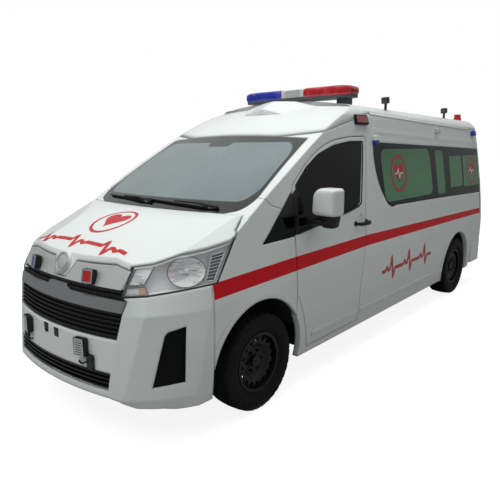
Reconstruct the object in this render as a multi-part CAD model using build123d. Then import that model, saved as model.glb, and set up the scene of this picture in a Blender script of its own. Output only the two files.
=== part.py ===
from build123d import *
import os
from math import cos, radians, sin

os.makedirs("parts", exist_ok=True)

# A high-roof panel van fitted out as an ambulance. Millimetres, +Z up, +X to the van's left.
# Stations (y) are measured rearward from a datum at the foot of the windshield pillars. The
# finished van is moved so that its origin is at the middle of its box, on the ground.

# ---- driving dimensions -------------------------------------------------------------------
FRONT_AXLE_STATION = 45.0
WHEELBASE = 3860.0
REAR_AXLE_STATION = FRONT_AXLE_STATION + WHEELBASE
NOSE_STATION = -1005.0          # foremost point of the bumper
TAIL_STATION = 4910.0           # rearmost point of the rear bumper
TRACK_FRONT = 1675.0
TRACK_REAR = 1670.0
TYRE_RADIUS = 356.0
TYRE_WIDTH = 235.0
RIM_RADIUS = 203.0
AXLE_HEIGHT = TYRE_RADIUS

SIDE_HALF_WIDTH = 972.0         # widest point of the body side
SIDE_WIDEST_HEIGHT = 880.0
SILL_HALF_WIDTH = 938.0
SILL_HEIGHT = 250.0
DRIP_HALF_WIDTH = 825.0
DRIP_HEIGHT = 2128.0
ROOF_HEIGHT = 2280.0
ROOF_REAR_DROP = 62.0           # the roof and the drip line fall towards the rear
NOSE_NARROWING = 0.955          # width of the section below the nose tip over the full width

WALL = 50.0                     # whole thickness of side, roof, door and tailgate
SKIN = 24.0                     # hood, fender and bumper
GLASS = 6.0
SHUT_GAP = 5.0                  # shut line round what opens
SEAM = 3.0                      # seam between fixed panels
RUNNING_CLEARANCE = 8.0         # round what turns

FRONT_ARCH_RADIUS = 465.0
REAR_ARCH_RADIUS = 440.0
ARCH_LIP_WIDTH = 46.0           # raised lip round the wheel openings
ARCH_LIP_PROUD = 5.0
FLOOR_HEIGHT = 560.0
FLOOR_THICKNESS = 50.0

CENTRE_STATION = (NOSE_STATION + TAIL_STATION) / 2
# Reach of the cutting tools: across the van, ahead of it, behind it and above it.
FAR = 1300.0
AHEAD = -1400.0
BEHIND = 5400.0
ABOVE = 2600.0


# ---- drawing helpers ----------------------------------------------------------------------
def outline(start, *steps):
    """A closed face on XY. A step is a point, or (point on the arc, end of the arc)."""
    edges = []
    here = start
    for step in steps:
        if isinstance(step[0], tuple):
            edges.append(ThreePointArc(here, step[0], step[1]))
            here = step[1]
        else:
            edges.append(Line(here, step))
            here = step
    if here != start:
        edges.append(Line(here, start))
    return make_face(edges)


def prism_x(x0, x1, face):
    """A face drawn as (station, height), extruded across the van."""
    return extrude(Plane.YZ.offset(x0) * face, amount=x1 - x0)


def prism_y(y0, y1, face):
    """A face drawn as (x, height), extruded along the van."""
    return extrude(Plane.XZ.offset(-y1) * face, amount=y1 - y0)


def prism_z(z0, z1, face):
    """A face drawn as (x, station), extruded upward."""
    return extrude(Plane.XY.offset(z0) * face, amount=z1 - z0)


def block(x0, x1, y0, y1, z0, z1):
    """A box by its two opposite corners."""
    centre = Pos((x0 + x1) / 2, (y0 + y1) / 2, (z0 + z1) / 2)
    return centre * Box(x1 - x0, y1 - y0, z1 - z0)


def rod_x(x0, x1, y, z, radius):
    """A round bar across the van."""
    return Pos((x0 + x1) / 2, y, z) * Rot(0, 90, 0) * Cylinder(radius, x1 - x0)


def rod_z(x, y, z0, z1, radius):
    """An upright round bar."""
    return Pos(x, y, (z0 + z1) / 2) * Cylinder(radius, z1 - z0)


def rod_y(x, y0, y1, z, radius):
    """A round bar along the van."""
    return Pos(x, (y0 + y1) / 2, z) * Rot(90, 0, 0) * Cylinder(radius, y1 - y0)


def mirrored(part):
    """The same piece on the right-hand side."""
    return mirror(part, about=Plane.YZ)


def both_sides(part):
    """One solid on each side, sharing a node."""
    return Compound(children=[*part.solids(), *mirrored(part).solids()])


NODES = {}


def keep(name, part):
    """Records a finished piece under its node's name."""
    NODES[name] = part


# ---- outer form ---------------------------------------------------------------------------
# Cross-section corners, as (half width, height, share of the roof's fall towards the rear).
SECTION = {
    "sill": (SILL_HALF_WIDTH, SILL_HEIGHT, 0.0),
    "lower": (966.0, 560.0, 0.0),
    "widest": (SIDE_HALF_WIDTH, SIDE_WIDEST_HEIGHT, 0.0),
    "upper": (918.0, 1480.0, 0.5),
    "drip": (DRIP_HALF_WIDTH, DRIP_HEIGHT, 1.2),
    "shoulder": (786.0, 2186.0, 1.0),
    "roof_edge": (650.0, 2236.0, 0.95),
}


def section_wire(station, width_share, fall, inset):
    """The cross-section at a station, with its walls moved inward by inset."""

    def corner(name, side):
        half_width, height, share = SECTION[name]
        drop = fall * share
        if height > DRIP_HEIGHT:
            drop += inset
        return (side * (half_width * width_share - inset), station, height - drop)

    top = (0, station, ROOF_HEIGHT - 0.65 * fall - inset)
    edges = [
        Line(corner("sill", -1), corner("sill", 1)),
        ThreePointArc(corner("sill", 1), corner("lower", 1), corner("widest", 1)),
        ThreePointArc(corner("widest", 1), corner("upper", 1), corner("drip", 1)),
        ThreePointArc(corner("drip", 1), corner("shoulder", 1), corner("roof_edge", 1)),
        ThreePointArc(corner("roof_edge", 1), top, corner("roof_edge", -1)),
        ThreePointArc(corner("roof_edge", -1), corner("shoulder", -1), corner("drip", -1)),
        ThreePointArc(corner("drip", -1), corner("upper", -1), corner("widest", -1)),
        ThreePointArc(corner("widest", -1), corner("lower", -1), corner("sill", -1)),
    ]
    return Wire(edges)


DOOR_FRONT_STATION = 440.0
TAIL_BODY_STATION = 4870.0


def body_prism(inset):
    """Body section, narrowing forward of the front doors and falling towards the rear."""
    stations = [
        (NOSE_STATION - 100, NOSE_NARROWING, 0.0),
        (DOOR_FRONT_STATION, 1.0, 0.0),
        (TAIL_BODY_STATION + 40, 0.985, ROOF_REAR_DROP),
    ]
    wires = [section_wire(y, share, fall, inset) for y, share, fall in stations]
    return Solid.make_loft(wires, ruled=True)


# Plan outlines of the nose, one per height: the centre's station, then (x, station) of the end
# of the flat front, of the ridge, of the middle of the corner and of the corner's end.
NOSE_PLAN = [
    (228.0, -960.0, (545.0, -905.0), (612.0, -878.0), (800.0, -715.0), (950.0, -345.0)),
    (342.0, -1005.0, (555.0, -944.0), (645.0, -908.0), (815.0, -745.0), (966.0, -350.0)),
    (700.0, -985.0, (600.0, -897.0), (728.0, -838.0), (842.0, -700.0), (978.0, -345.0)),
    (870.0, -944.0, (616.0, -868.0), (762.0, -804.0), (852.0, -664.0), (978.0, -310.0)),
    (1000.0, -912.0, (622.0, -842.0), (732.0, -764.0), (842.0, -604.0), (974.0, -270.0)),
    (1330.0, -752.0, (600.0, -672.0), (680.0, -592.0), (800.0, -420.0), (962.0, -80.0)),
]
NOSE_BACK_STATION = 60.0


def nose_loft(inset):
    """The nose in plan at each height, with its walls moved inward by inset."""
    wires = []
    for height, centre, front, ridge, middle, end in NOSE_PLAN:
        back = 1150.0 - inset

        def at(point, toward_x, toward_y, side):
            return (side * (point[0] - inset * toward_x), point[1] + inset * toward_y, height)

        def side_points(side):
            return [at(front, 0.4, 0.92, side), at(ridge, 0.55, 0.8, side),
                    at(middle, 0.78, 0.62, side), at(end, 0.95, 0.3, side)]

        tip = (0, centre + inset, height)
        right = side_points(-1)
        left = side_points(1)
        corner_left = (back, NOSE_BACK_STATION, height)
        corner_right = (-back, NOSE_BACK_STATION, height)
        wires.append(Wire([
            ThreePointArc(right[0], tip, left[0]),
            Line(left[0], left[1]),
            ThreePointArc(left[1], left[2], left[3]),
            Line(left[3], corner_left),
            Line(corner_left, corner_right),
            Line(corner_right, right[3]),
            ThreePointArc(right[3], right[2], right[1]),
            Line(right[1], right[0]),
        ]))
    return Solid.make_loft(wires, ruled=True)


def turned_cutter(face, axis_station, sweep):
    """A face drawn as (station, height), turned about an upright axis on the centreline."""
    axis = Axis((0, axis_station, 0), (0, 0, 1))
    solid = revolve(Plane.YZ * face, axis=axis, revolution_arc=sweep)
    return solid.rotate(axis, -sweep / 2)


WINDSHIELD_AXIS_STATION = 3500.0
HOOD_AXIS_STATION = 3200.0
TAIL_AXIS_STATION = -1500.0

WINDSHIELD_FOOT = (-260.0, 1320.0)
WINDSHIELD_MIDDLE = (320.0, 1690.0)
WINDSHIELD_HEAD = (800.0, 1958.0)
FOREHEAD_MIDDLE = (1260.0, 2160.0)
FOREHEAD_TOP = (1900.0, ROOF_HEIGHT + 8.0)

windshield_cut_face = outline(
    (AHEAD, 900),
    (-345, 1120),
    WINDSHIELD_FOOT,
    (WINDSHIELD_MIDDLE, WINDSHIELD_HEAD),
    (FOREHEAD_MIDDLE, FOREHEAD_TOP),
    (FOREHEAD_TOP[0], ABOVE),
    (AHEAD, ABOVE),
)
HOOD_FRONT = (-870.0, 1146.0)
HOOD_MIDDLE = (-470.0, 1338.0)
HOOD_REAR = (60.0, 1418.0)
hood_cut_face = outline(
    (AHEAD, 900),
    (HOOD_FRONT[0] - 60, 1090),
    HOOD_FRONT,
    (HOOD_MIDDLE, HOOD_REAR),
    (1200, 1500),
    (1200, 2700),
    (AHEAD, 2700),
)
TAIL_LOW = (TAIL_BODY_STATION, 500.0)
TAIL_WAIST = (TAIL_BODY_STATION - 18, 1150.0)
TAIL_HEAD = (TAIL_BODY_STATION - 95, 2060.0)
TAIL_CROWN = (TAIL_BODY_STATION - 210, 2225.0)
tail_cut_face = outline(
    (TAIL_LOW[0], 100),
    TAIL_LOW,
    (TAIL_WAIST, TAIL_HEAD),
    ((TAIL_BODY_STATION - 130, 2165.0), TAIL_CROWN),
    (TAIL_CROWN[0], ABOVE),
    (BEHIND, ABOVE),
    (BEHIND, 100),
)

# The hood's shoulder is two flat facets that meet on a line from the middle of the headlamp's top
# edge to the foot of the windshield pillar.
SHOULDER_INNER = Vector(600, -772, 1158)
SHOULDER_MIDDLE = Vector(792, -538, 1214)
SHOULDER_OUTER = Vector(933, -205, 1281)
SHOULDER_REAR = Vector(850, 0, 1440)


def above_facet(first, second, third, inset):
    """Everything above the plane through three points, moved into the body by inset."""
    normal = (second - first).cross(third - first)
    if normal.Z < 0:
        normal = -normal
    normal = normal.normalized()
    base = Plane(origin=first - normal * inset, z_dir=normal)
    return base * Pos(0, 0, 1500) * Box(5000, 5000, 3000)


def shoulder_cutter(inset):
    """Everything above the left-hand shoulder facets, in front of the windshield pillar."""
    inner = above_facet(SHOULDER_INNER, SHOULDER_MIDDLE, SHOULDER_REAR, inset)
    return inner + above_facet(SHOULDER_MIDDLE, SHOULDER_OUTER, SHOULDER_REAR, inset)


WINDSHIELD_INWARD = (0.46, -0.89)   # direction (station, height) square into the glass
HOOD_INWARD = (0.3, -0.95)


def hull(inset):
    """The van's outer form as one solid, with its walls moved inward by inset."""
    body = Part(body_prism(inset).wrapped)
    front_block = block(-FAR, FAR, AHEAD, NOSE_BACK_STATION - inset, 0, 1328)
    body -= front_block - Part(nose_loft(inset).wrapped)
    ahead = turned_cutter(windshield_cut_face, WINDSHIELD_AXIS_STATION, 50)
    ahead = Pos(0, inset * WINDSHIELD_INWARD[0], inset * WINDSHIELD_INWARD[1]) * ahead
    above = turned_cutter(hood_cut_face, HOOD_AXIS_STATION, 50)
    above = Pos(0, inset * HOOD_INWARD[0], inset * HOOD_INWARD[1]) * above
    behind = Pos(0, -inset, 0) * turned_cutter(tail_cut_face, TAIL_AXIS_STATION, 30)
    shoulder = shoulder_cutter(inset)
    body -= ahead & above
    body -= ahead & shoulder
    body -= ahead & mirrored(shoulder)
    return body - behind


outer = hull(0)
glass_core = hull(GLASS)
skin_core = hull(SKIN)
wall_core = hull(WALL)
glass_shell = outer - glass_core
skin_shell = outer - skin_core
wall_shell = outer - wall_core


# ---- openings and split lines -------------------------------------------------------------
def front_arch(extra):
    """The front wheel's opening through the left side."""
    return rod_x(480, FAR, FRONT_AXLE_STATION, AXLE_HEIGHT, FRONT_ARCH_RADIUS + extra)


def rear_arch(extra):
    """The rear wheel's opening through the left side."""
    return rod_x(600, FAR, REAR_AXLE_STATION, AXLE_HEIGHT, REAR_ARCH_RADIUS + extra)


def arch_lip(arch):
    """The raised lip round a wheel's opening on the left side."""
    ring = arch(ARCH_LIP_WIDTH) - arch(0)
    return (Pos(ARCH_LIP_PROUD, 0, 0) * skin_shell) & ring & block(800, FAR, -600, BEHIND, 0, 1200)


DOOR_PILLAR_FOOT = (444.0, 1566.0)
DOOR_SILL_HEIGHT = 302.0


def door_region(gap):
    """The front door seen from the side, as (station, height), moved inward by a gap."""
    return outline(
        (DOOR_FRONT_STATION + gap, 780.0),
        (DOOR_PILLAR_FOOT[0] + gap, DOOR_PILLAR_FOOT[1]),
        ((690.0 + 0.6 * gap, 1752.0 - gap), (1080.0, 1902.0 - gap)),
        ((1340.0, 1930.0 - gap), (1560.0, 1938.0 - gap)),
        ((1607.0 - gap, 1925.0 - gap), (1622.0 - gap, 1893.0)),
        (1530.0 - gap, 1350.0),
        (1505.0 - gap, 1000.0),
        (1425.0 - gap, 660.0),
        (1425.0 - gap, DOOR_SILL_HEIGHT + gap),
        (606.0 + gap, DOOR_SILL_HEIGHT + gap),
        ((540.0 + gap, 560.0), (DOOR_FRONT_STATION + gap, 780.0)),
    )


door_window = outline(
    (492, 1228),
    (504, 1572),
    ((830, 1778), (1330, 1880)),
    (1548, 1884),
    (1440, 1372),
    ((1395, 1350), (1110, 1308)),
    (492, 1228),
)
quarter_window = outline(
    (70, 1196), (145, 1262), (DOOR_FRONT_STATION - 5, 1538), (DOOR_FRONT_STATION - 5, 1206),
)
side_window = outline(
    (1752, 1887),
    ((1800, 1520), (1912, 1368)),
    ((1985, 1300), (2136, 1286)),
    (3067, 1272),
    (4725, 1236),
    (4712, 1812),
)
SLIDING_DOOR_FRONT = 1640.0
SLIDING_DOOR_REAR = 2960.0


def sliding_door_region(gap):
    """The sliding door seen from the side, as (station, height), moved inward by a gap."""
    return outline(
        (SLIDING_DOOR_FRONT + gap, 1940.0 - gap),
        (SLIDING_DOOR_REAR - gap, 1905.0 - gap),
        (SLIDING_DOOR_REAR - gap, DOOR_SILL_HEIGHT + gap),
        (1460.0 + gap, DOOR_SILL_HEIGHT + gap),
        (1460.0 + gap, 660.0),
        (1545.0 + gap, 1000.0),
        (1570.0 + gap, 1350.0),
    )


roof_region = outline(
    (-1200, 1925), (780, 1925), (1740, 2136), (5300, 2028), (5300, ABOVE), (-1200, ABOVE),
)


def windshield_region(margin):
    """The windshield seen from ahead, as (x, height), grown by a margin."""
    head = 779 + margin
    side = 846 + margin
    foot = 790 + margin
    return outline(
        (-head, 1913 + margin),
        ((0, 1942 + margin), (head, 1913 + margin)),
        (side, 1545),
        ((side - 6, 1470), (foot, 1424 - margin)),
        ((0, 1330 - margin), (-foot, 1424 - margin)),
        ((-side + 6, 1470), (-side, 1545)),
    )


REAR_BUMPER_TOP = 590.0
TAILGATE_BOTTOM = REAR_BUMPER_TOP


def tailgate_region(gap):
    """The tailgate seen from behind, as (x, height), moved inward by a gap."""
    low = 800 - gap
    high = 690 - gap
    return outline(
        (-low, TAILGATE_BOTTOM + gap), (low, TAILGATE_BOTTOM + gap), (low, 1150),
        (high, 2060 - gap), (-high, 2060 - gap), (-low, 1150),
    )


tailgate_window = outline((-640, 1262), (640, 1262), (590, 1800), (-590, 1800))
TAILGATE_FRONT = 4560.0

# Seen from ahead, as (x, height): the grille's opening with the nose panel, and the lower intake.
grille_opening = outline(
    (-599, 712), (599, 712), (628, 884), (646, 952), (588, 1000), (622, 1190),
    (-622, 1190), (-588, 1000), (-646, 952), (-628, 884),
)
intake_opening = outline((-547, 386), (547, 386), (561, 503), (-561, 503))
# The bumper's lower edge from ahead, as (x, height): it drops from the middle to the corners.
CHIN = [(560, 347), (625, 328), (695, 286), (810, 276), (850, 261), (900, 256), (1000, 236)]
chin_edge = outline((1000, 0), *reversed(CHIN), *[(-x, z) for x, z in CHIN], (-1000, 0))
NOSE_SEAM_STATION = -412.0

LAMP_TURN = 50.0                # the headlamp faces this far outward from straight ahead
LAMP_NEAR = 400.0               # cutting depths along the headlamp's facing
LAMP_FAR = 1300.0
lamp_across = (cos(radians(LAMP_TURN)), sin(radians(LAMP_TURN)), 0)
lamp_forward = (sin(radians(LAMP_TURN)), -cos(radians(LAMP_TURN)), 0)
lamp_plane = Plane(origin=(0, 0, 0), x_dir=lamp_across, z_dir=lamp_forward)


def lamp_prism(gap, near, far):
    """The left headlamp's outline, drawn square to its facing, between two depths."""
    face = outline(
        (-262 + gap, 972 + gap),
        (102, 1002 + gap),
        (318 - gap, 1020 + gap),
        (462 - gap, 1300),
        (-170, 1300),
        (-188 + gap, 1143),
    )
    return extrude(lamp_plane.offset(near) * face, amount=far - near)


# Seen square to the bumper's corner, as (across, height): the dark recess beside the wheel.
CORNER_TURN = 38.0
corner_plane = Plane(
    origin=(0, 0, 0),
    x_dir=(cos(radians(CORNER_TURN)), sin(radians(CORNER_TURN)), 0),
    z_dir=(sin(radians(CORNER_TURN)), -cos(radians(CORNER_TURN)), 0),
)
corner_recess = outline((130, 418), (322, 432), (336, 792), (232, 768), (212, 745))


# ---- body ---------------------------------------------------------------------------------
left_half = block(0, FAR, AHEAD, BEHIND, 0, ABOVE)
ahead_of_glass = turned_cutter(windshield_cut_face, WINDSHIELD_AXIS_STATION, 50)
above_hood = turned_cutter(hood_cut_face, HOOD_AXIS_STATION, 50)


def hood_slab(depth):
    """The top of the nose down to a depth below the hood and its shoulder facets."""
    drop = Pos(0, depth * HOOD_INWARD[0], depth * HOOD_INWARD[1])
    facet = shoulder_cutter(depth)
    return drop * above_hood + facet + mirrored(facet)


HOOD_EDGE = 10.0                # the hood is this thick where it closes over the headlamps
LAMP_BACK = 740.0               # the headlamps' rearmost reach along their own facing
HOOD_CORNER_FRONT = (932.0, -200.0)
HOOD_CORNER_REAR = (853.0, -2.0)


def hood_plan(gap):
    """The hood seen from above, as (x, station), moved inward by a gap."""
    front_x = HOOD_CORNER_FRONT[0] + 118 - gap
    front_y = HOOD_CORNER_FRONT[1] - 297
    rear_x = HOOD_CORNER_REAR[0] - gap
    return outline(
        (-front_x, -1300), (front_x, -1300), (front_x, front_y), (rear_x, HOOD_CORNER_REAR[1]),
        (rear_x - 20, 160), (-rear_x + 20, 160), (-rear_x, HOOD_CORNER_REAR[1]), (-front_x, front_y),
    )


hood_part = outer & hood_slab(SKIN) & (Pos(0, -14, 0) * ahead_of_glass)
hood_part = hood_part & prism_z(900, 1600, hood_plan(SHUT_GAP))
over_lamps = both_sides(lamp_prism(-HOOD_EDGE, LAMP_BACK, LAMP_FAR) - hood_slab(HOOD_EDGE))
hood_part -= over_lamps
BADGE_HEIGHT = 1108.0
BADGE_RADIUS = 76.0


def tongue(gap):
    """The tongue of the hood that carries the blank badge, seen from ahead, as (x, height)."""
    return outline((-160 - gap, 1200), (-118 - gap, 1108), (-62 - gap, 1030 - gap),
                   (62 + gap, 1030 - gap), (118 + gap, 1108), (160 + gap, 1200))


tongue_part = skin_shell & prism_y(AHEAD, -600, tongue(0))
badge_plane = Plane(origin=(0, -868, BADGE_HEIGHT), x_dir=(1, 0, 0), z_dir=(0, -0.92, 0.39))
badge = badge_plane * Pos(0, 0, -6) * Cylinder(BADGE_RADIUS, 28)
keep("hood", hood_part + tongue_part + badge)

under_hood = outer & hood_slab(SKIN + SHUT_GAP) & ahead_of_glass
hood_clearance = under_hood & prism_z(900, 1600, hood_plan(0))

windshield_prism = prism_y(-500, 1150, windshield_region(0))
windshield_part = glass_shell & windshield_prism & block(-FAR, FAR, -300, 1150, 1380, 2000)
windshield_part -= Pos(0, -2, 0) * ahead_of_glass
keep("windshield", Compound(children=[x for x in windshield_part.solids() if x.volume > 1e5]))

# The cowl closes the gap between the hood's rear edge and the foot of the glass from below.
COWL_DEPTH = 18.0
cowl_region = prism_y(-500, 400, windshield_region(30)) - prism_y(-500, 400, windshield_region(-45))
cowl_top = Pos(0, GLASS * WINDSHIELD_INWARD[0], GLASS * WINDSHIELD_INWARD[1]) * ahead_of_glass
cowl_low = Pos(0, COWL_DEPTH * WINDSHIELD_INWARD[0], COWL_DEPTH * WINDSHIELD_INWARD[1]) * ahead_of_glass
cowl_part = wall_core & (cowl_low - cowl_top) & cowl_region & block(-790, 790, -300, 60, 1300, 1470)
cowl_part -= hood_slab(SKIN + SHUT_GAP + 1)
keep("cowl", Compound(children=[x for x in cowl_part.solids() if x.volume > 1e4]))

roof_part = wall_shell & prism_x(-FAR, FAR, roof_region)
roof_part -= windshield_prism
roof_part -= prism_y(TAILGATE_FRONT, BEHIND, tailgate_region(0))
keep("roof", roof_part)

left_wall = (wall_shell & left_half) - prism_x(-FAR, FAR, roof_region)
left_wall -= prism_x(300, FAR, door_region(0))
left_wall -= prism_x(300, FAR, side_window)
left_wall -= prism_x(300, FAR, quarter_window)
left_wall -= windshield_prism
left_wall -= rear_arch(0)
left_wall -= prism_y(TAILGATE_FRONT, BEHIND, tailgate_region(0))


def pillar_seam(gap):
    """What the fender covers, seen from the side as (station, height), moved inward by a gap."""
    back = DOOR_FRONT_STATION + 2 - gap
    return outline((AHEAD, 0), (back, 0), (back, 1380 - gap), (200 - gap, 1450 - gap),
                   (60 - gap, 1560 - gap), (AHEAD, 1560 - gap))


REAR_BUMPER_FRONT = 4470.0
rear_bumper_space = block(0, FAR, REAR_BUMPER_FRONT, BEHIND, 0, REAR_BUMPER_TOP)
TAIL_LAMP_LOW = 930.0
TAIL_LAMP_HIGH = 1420.0
tail_lamp_space = block(815, FAR, 4732, BEHIND, TAIL_LAMP_LOW, TAIL_LAMP_HIGH)
side_part = left_wall - prism_x(0, FAR, pillar_seam(0)) - rear_bumper_space - tail_lamp_space
side_part -= front_arch(0)
side_part += arch_lip(rear_arch) & block(0, FAR, 0, REAR_BUMPER_FRONT, SILL_HEIGHT, 2000)
keep("body_side_left", side_part)
right_part = mirrored(side_part) - prism_x(-FAR, -300, sliding_door_region(0))
keep("body_side_right", right_part)

sliding_part = mirrored(left_wall) & prism_x(-FAR, -300, sliding_door_region(SHUT_GAP))
keep("sliding_door", sliding_part)

band = glass_shell & prism_x(300, FAR, side_window)
keep("side_glass", both_sides(band))
keep("quarter_glass", both_sides(glass_shell & prism_x(300, FAR, quarter_window)))

fender_back = DOOR_FRONT_STATION - SEAM
fender_region = prism_x(0, FAR, pillar_seam(SEAM / 2))
fender_region &= block(0, FAR, NOSE_SEAM_STATION + SEAM, fender_back, 0, 1600)
fender_part = (skin_shell & fender_region) - front_arch(0) - hood_clearance
fender_part -= prism_x(300, FAR, quarter_window)
fender_part -= windshield_prism
fender_part -= lamp_prism(-SEAM, LAMP_NEAR, LAMP_FAR)
fender_part -= block(-100, 700, -500, 500, 1300, 1700)
fender_part += arch_lip(front_arch) & block(0, FAR, NOSE_SEAM_STATION + SEAM, fender_back, SILL_HEIGHT, 2000)
keep("front_fenders", both_sides(fender_part.solids().sort_by(SortBy.VOLUME)[-1]))

bumper_part = skin_shell & block(-FAR, FAR, AHEAD, NOSE_SEAM_STATION, 0, 1040)
bumper_part -= prism_y(AHEAD, -500, grille_opening)
bumper_part -= prism_y(AHEAD, -500, intake_opening)
bumper_part -= lamp_prism(-SEAM, LAMP_NEAR, LAMP_FAR)
bumper_part -= mirrored(lamp_prism(-SEAM, LAMP_NEAR, LAMP_FAR))
recess_cut = extrude(corner_plane.offset(500) * corner_recess, amount=800)
bumper_part -= recess_cut
bumper_part -= mirrored(recess_cut)
bumper_part -= block(-FAR, FAR, AHEAD, 0, 995, 1100) & block(-640, 640, AHEAD, 0, 900, 1100)
bumper_part -= prism_y(AHEAD, NOSE_SEAM_STATION, chin_edge)
keep("front_bumper", Compound(children=[x for x in bumper_part.solids() if x.volume > 1e5]))

INSERT_RECESS = 22.0
insert_inward = Vector(-sin(radians(CORNER_TURN)), cos(radians(CORNER_TURN)), 0) * INSERT_RECESS
corner_skin = skin_shell & block(500, FAR, -1000, -300, 380, 820)
insert_part = (Pos(*insert_inward) * corner_skin) & recess_cut
keep("bumper_inserts", both_sides(insert_part.solids().sort_by(SortBy.VOLUME)[-1]))


# ---- nose ---------------------------------------------------------------------------------
panel_face = outline((-634, 1200), (-628, 1160), (-592, 1016), (592, 1016), (628, 1160), (634, 1200))
panel_part = (skin_shell & prism_y(AHEAD, -600, panel_face)) - under_hood
panel_part -= prism_y(AHEAD, -600, tongue(SHUT_GAP))
panel_part -= lamp_prism(-SEAM, LAMP_NEAR, LAMP_FAR)
panel_part -= mirrored(lamp_prism(-SEAM, LAMP_NEAR, LAMP_FAR))
keep("nose_panel", Compound(children=[x for x in panel_part.solids() if x.volume > 1e5]))

bar_face = outline((-624, 884), (624, 884), (643, 950), (132, 954), (92, 988), (-92, 988),
                   (-132, 954), (-643, 950))
BAR_PROUD = 6.0
bar_part = (Pos(0, -BAR_PROUD, 0) * skin_shell) & prism_y(AHEAD, -600, bar_face)
keep("grille_bar", bar_part)

LOUVRE_PITCH = 27.0
LOUVRE_THICKNESS = 9.0
GRILLE_RECESS = 26.0
upper_mesh = prism_y(AHEAD, -600, grille_opening) & block(-FAR, FAR, AHEAD, 0, 700, 1016)
lower_mesh = prism_y(AHEAD, -600, intake_opening)
nose_only = block(-700, 700, AHEAD, -600, 300, 1100)
nose_skin = skin_shell & nose_only
louvre_blades = []
for low, high, mesh in ((735, 880, upper_mesh), (975, 1010, upper_mesh), (405, 500, lower_mesh)):
    height = low
    while height < high:
        louvre_blades.append(block(-FAR, FAR, AHEAD, 0, height, height + LOUVRE_THICKNESS) & mesh)
        height += LOUVRE_PITCH
grille_part = (Pos(0, GRILLE_RECESS, 0) * nose_skin) & (upper_mesh + lower_mesh)
grille_part += (Pos(0, 4, 0) * nose_skin) & Compound(children=louvre_blades)
grille_part -= bar_part
grille_part -= lamp_prism(-SEAM, LAMP_NEAR, LAMP_FAR)
grille_part -= mirrored(lamp_prism(-SEAM, LAMP_NEAR, LAMP_FAR))
keep("grille", Compound(children=[x for x in grille_part.solids() if x.volume > 2e4]))

lamp_hole = outer & lamp_prism(0, LAMP_BACK + SEAM, LAMP_FAR)
lamp_hole = lamp_hole - hood_slab(HOOD_EDGE + SHUT_GAP)
lens_part = (lamp_hole & glass_shell)
LAMP_DEPTH = 95.0
LAMP_WALL = 7.0
LAMP_BACK_WALL = 30.0
inward = Vector(*lamp_forward) * -1
deep = Pos(*(inward * LAMP_DEPTH)) * outer
housing = (lamp_hole & glass_core) - deep
cavity_back = Pos(*(inward * (LAMP_DEPTH - LAMP_BACK_WALL))) * outer
cavity = (lamp_prism(LAMP_WALL, LAMP_BACK, LAMP_FAR) & glass_core) - cavity_back
cavity -= hood_slab(HOOD_EDGE + SHUT_GAP + LAMP_WALL)
housing -= cavity
BOWL_CENTRE = (150.0, 1108.0, 925.0)    # across, height and depth in the headlamp's plane
BOWL_RADIUS = 82.0
housing -= lamp_plane * Pos(*BOWL_CENTRE) * Sphere(BOWL_RADIUS)
keep("headlamp_lenses", both_sides(lens_part))
keep("headlamp_housings", both_sides(housing.solids().sort_by(SortBy.VOLUME)[-1]))

GRILLE_LAMP = (88.0, 44.0, 92.0)      # width, depth, height
GRILLE_LAMP_CENTRE = (333.0, -884.0, 1070.0)
GRILLE_LAMP_TILT = -12.0
GRILLE_LAMP_TURN = 14.0
BUMPER_LAMP = (98.0, 40.0, 118.0)
BUMPER_LAMP_CENTRE = (340.0, -982.0, 640.0)
BUMPER_LAMP_TURN = 12.0
LAMP_CASE_FILLET = 9.0
grille_lamp = Pos(*GRILLE_LAMP_CENTRE) * Rot(GRILLE_LAMP_TILT, 0, GRILLE_LAMP_TURN) * Box(*GRILLE_LAMP)
grille_lamp = fillet(grille_lamp.edges(), LAMP_CASE_FILLET)
bumper_lamp = Pos(*BUMPER_LAMP_CENTRE) * Rot(0, 0, BUMPER_LAMP_TURN) * Box(*BUMPER_LAMP)
bumper_lamp = fillet(bumper_lamp.edges(), LAMP_CASE_FILLET)
front_lamps = both_sides((grille_lamp - outer) + (bumper_lamp - outer))
keep("front_lamps", front_lamps)

# ---- doors --------------------------------------------------------------------------------
door_blank = wall_shell & prism_x(300, FAR, door_region(SHUT_GAP))
door_part = door_blank - prism_x(300, FAR, door_window)
keep("door_left", door_part)
keep("door_right", mirrored(door_part))
DOOR_GLASS_DEPTH = 7.0
door_pane = Pos(-DOOR_GLASS_DEPTH, 0, 0) * (glass_shell & prism_x(300, FAR, door_window))
keep("door_glass_left", door_pane)
keep("door_glass_right", mirrored(door_pane))

HANDLE_STATION = 1425.0
HANDLE_HEIGHT = 1196.0
HANDLE_LENGTH = 235.0
HANDLE_X = 978.0
HANDLE_SECTION = (60.0, 34.0)         # across, height
HANDLE_END = 35.0                     # what stays of the grip at each end of the finger space
MIRROR_CENTRE = (1100.0, 622.0, 1452.0)
MIRROR_SIZE = (212.0, 128.0, 205.0)
MIRROR_TURN = -8.0
MIRROR_FILLET = 30.0
MIRROR_FOOT_LOW = 1262.0
MIRROR_FOOT_HIGH = 1356.0
MIRROR_FOOT_FILLET = 16.0
handle = Pos(HANDLE_X, HANDLE_STATION, HANDLE_HEIGHT) * Box(HANDLE_SECTION[0], HANDLE_LENGTH, HANDLE_SECTION[1])
handle = fillet(handle.edges(), 10) - outer
handle -= Pos(HANDLE_X - 18, HANDLE_STATION, HANDLE_HEIGHT) * Box(62, HANDLE_LENGTH - 2 * HANDLE_END, 60)
mirror_head = fillet(Box(*MIRROR_SIZE).edges(), MIRROR_FILLET)
mirror_head = Pos(*MIRROR_CENTRE) * Rot(0, 0, MIRROR_TURN) * mirror_head
foot_plan = outline((880, 560), (990, 575), (1118, 628), (1122, 700), (1000, 722), (880, 690))
mirror_foot = prism_z(MIRROR_FOOT_LOW, MIRROR_FOOT_HIGH, foot_plan)
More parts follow.
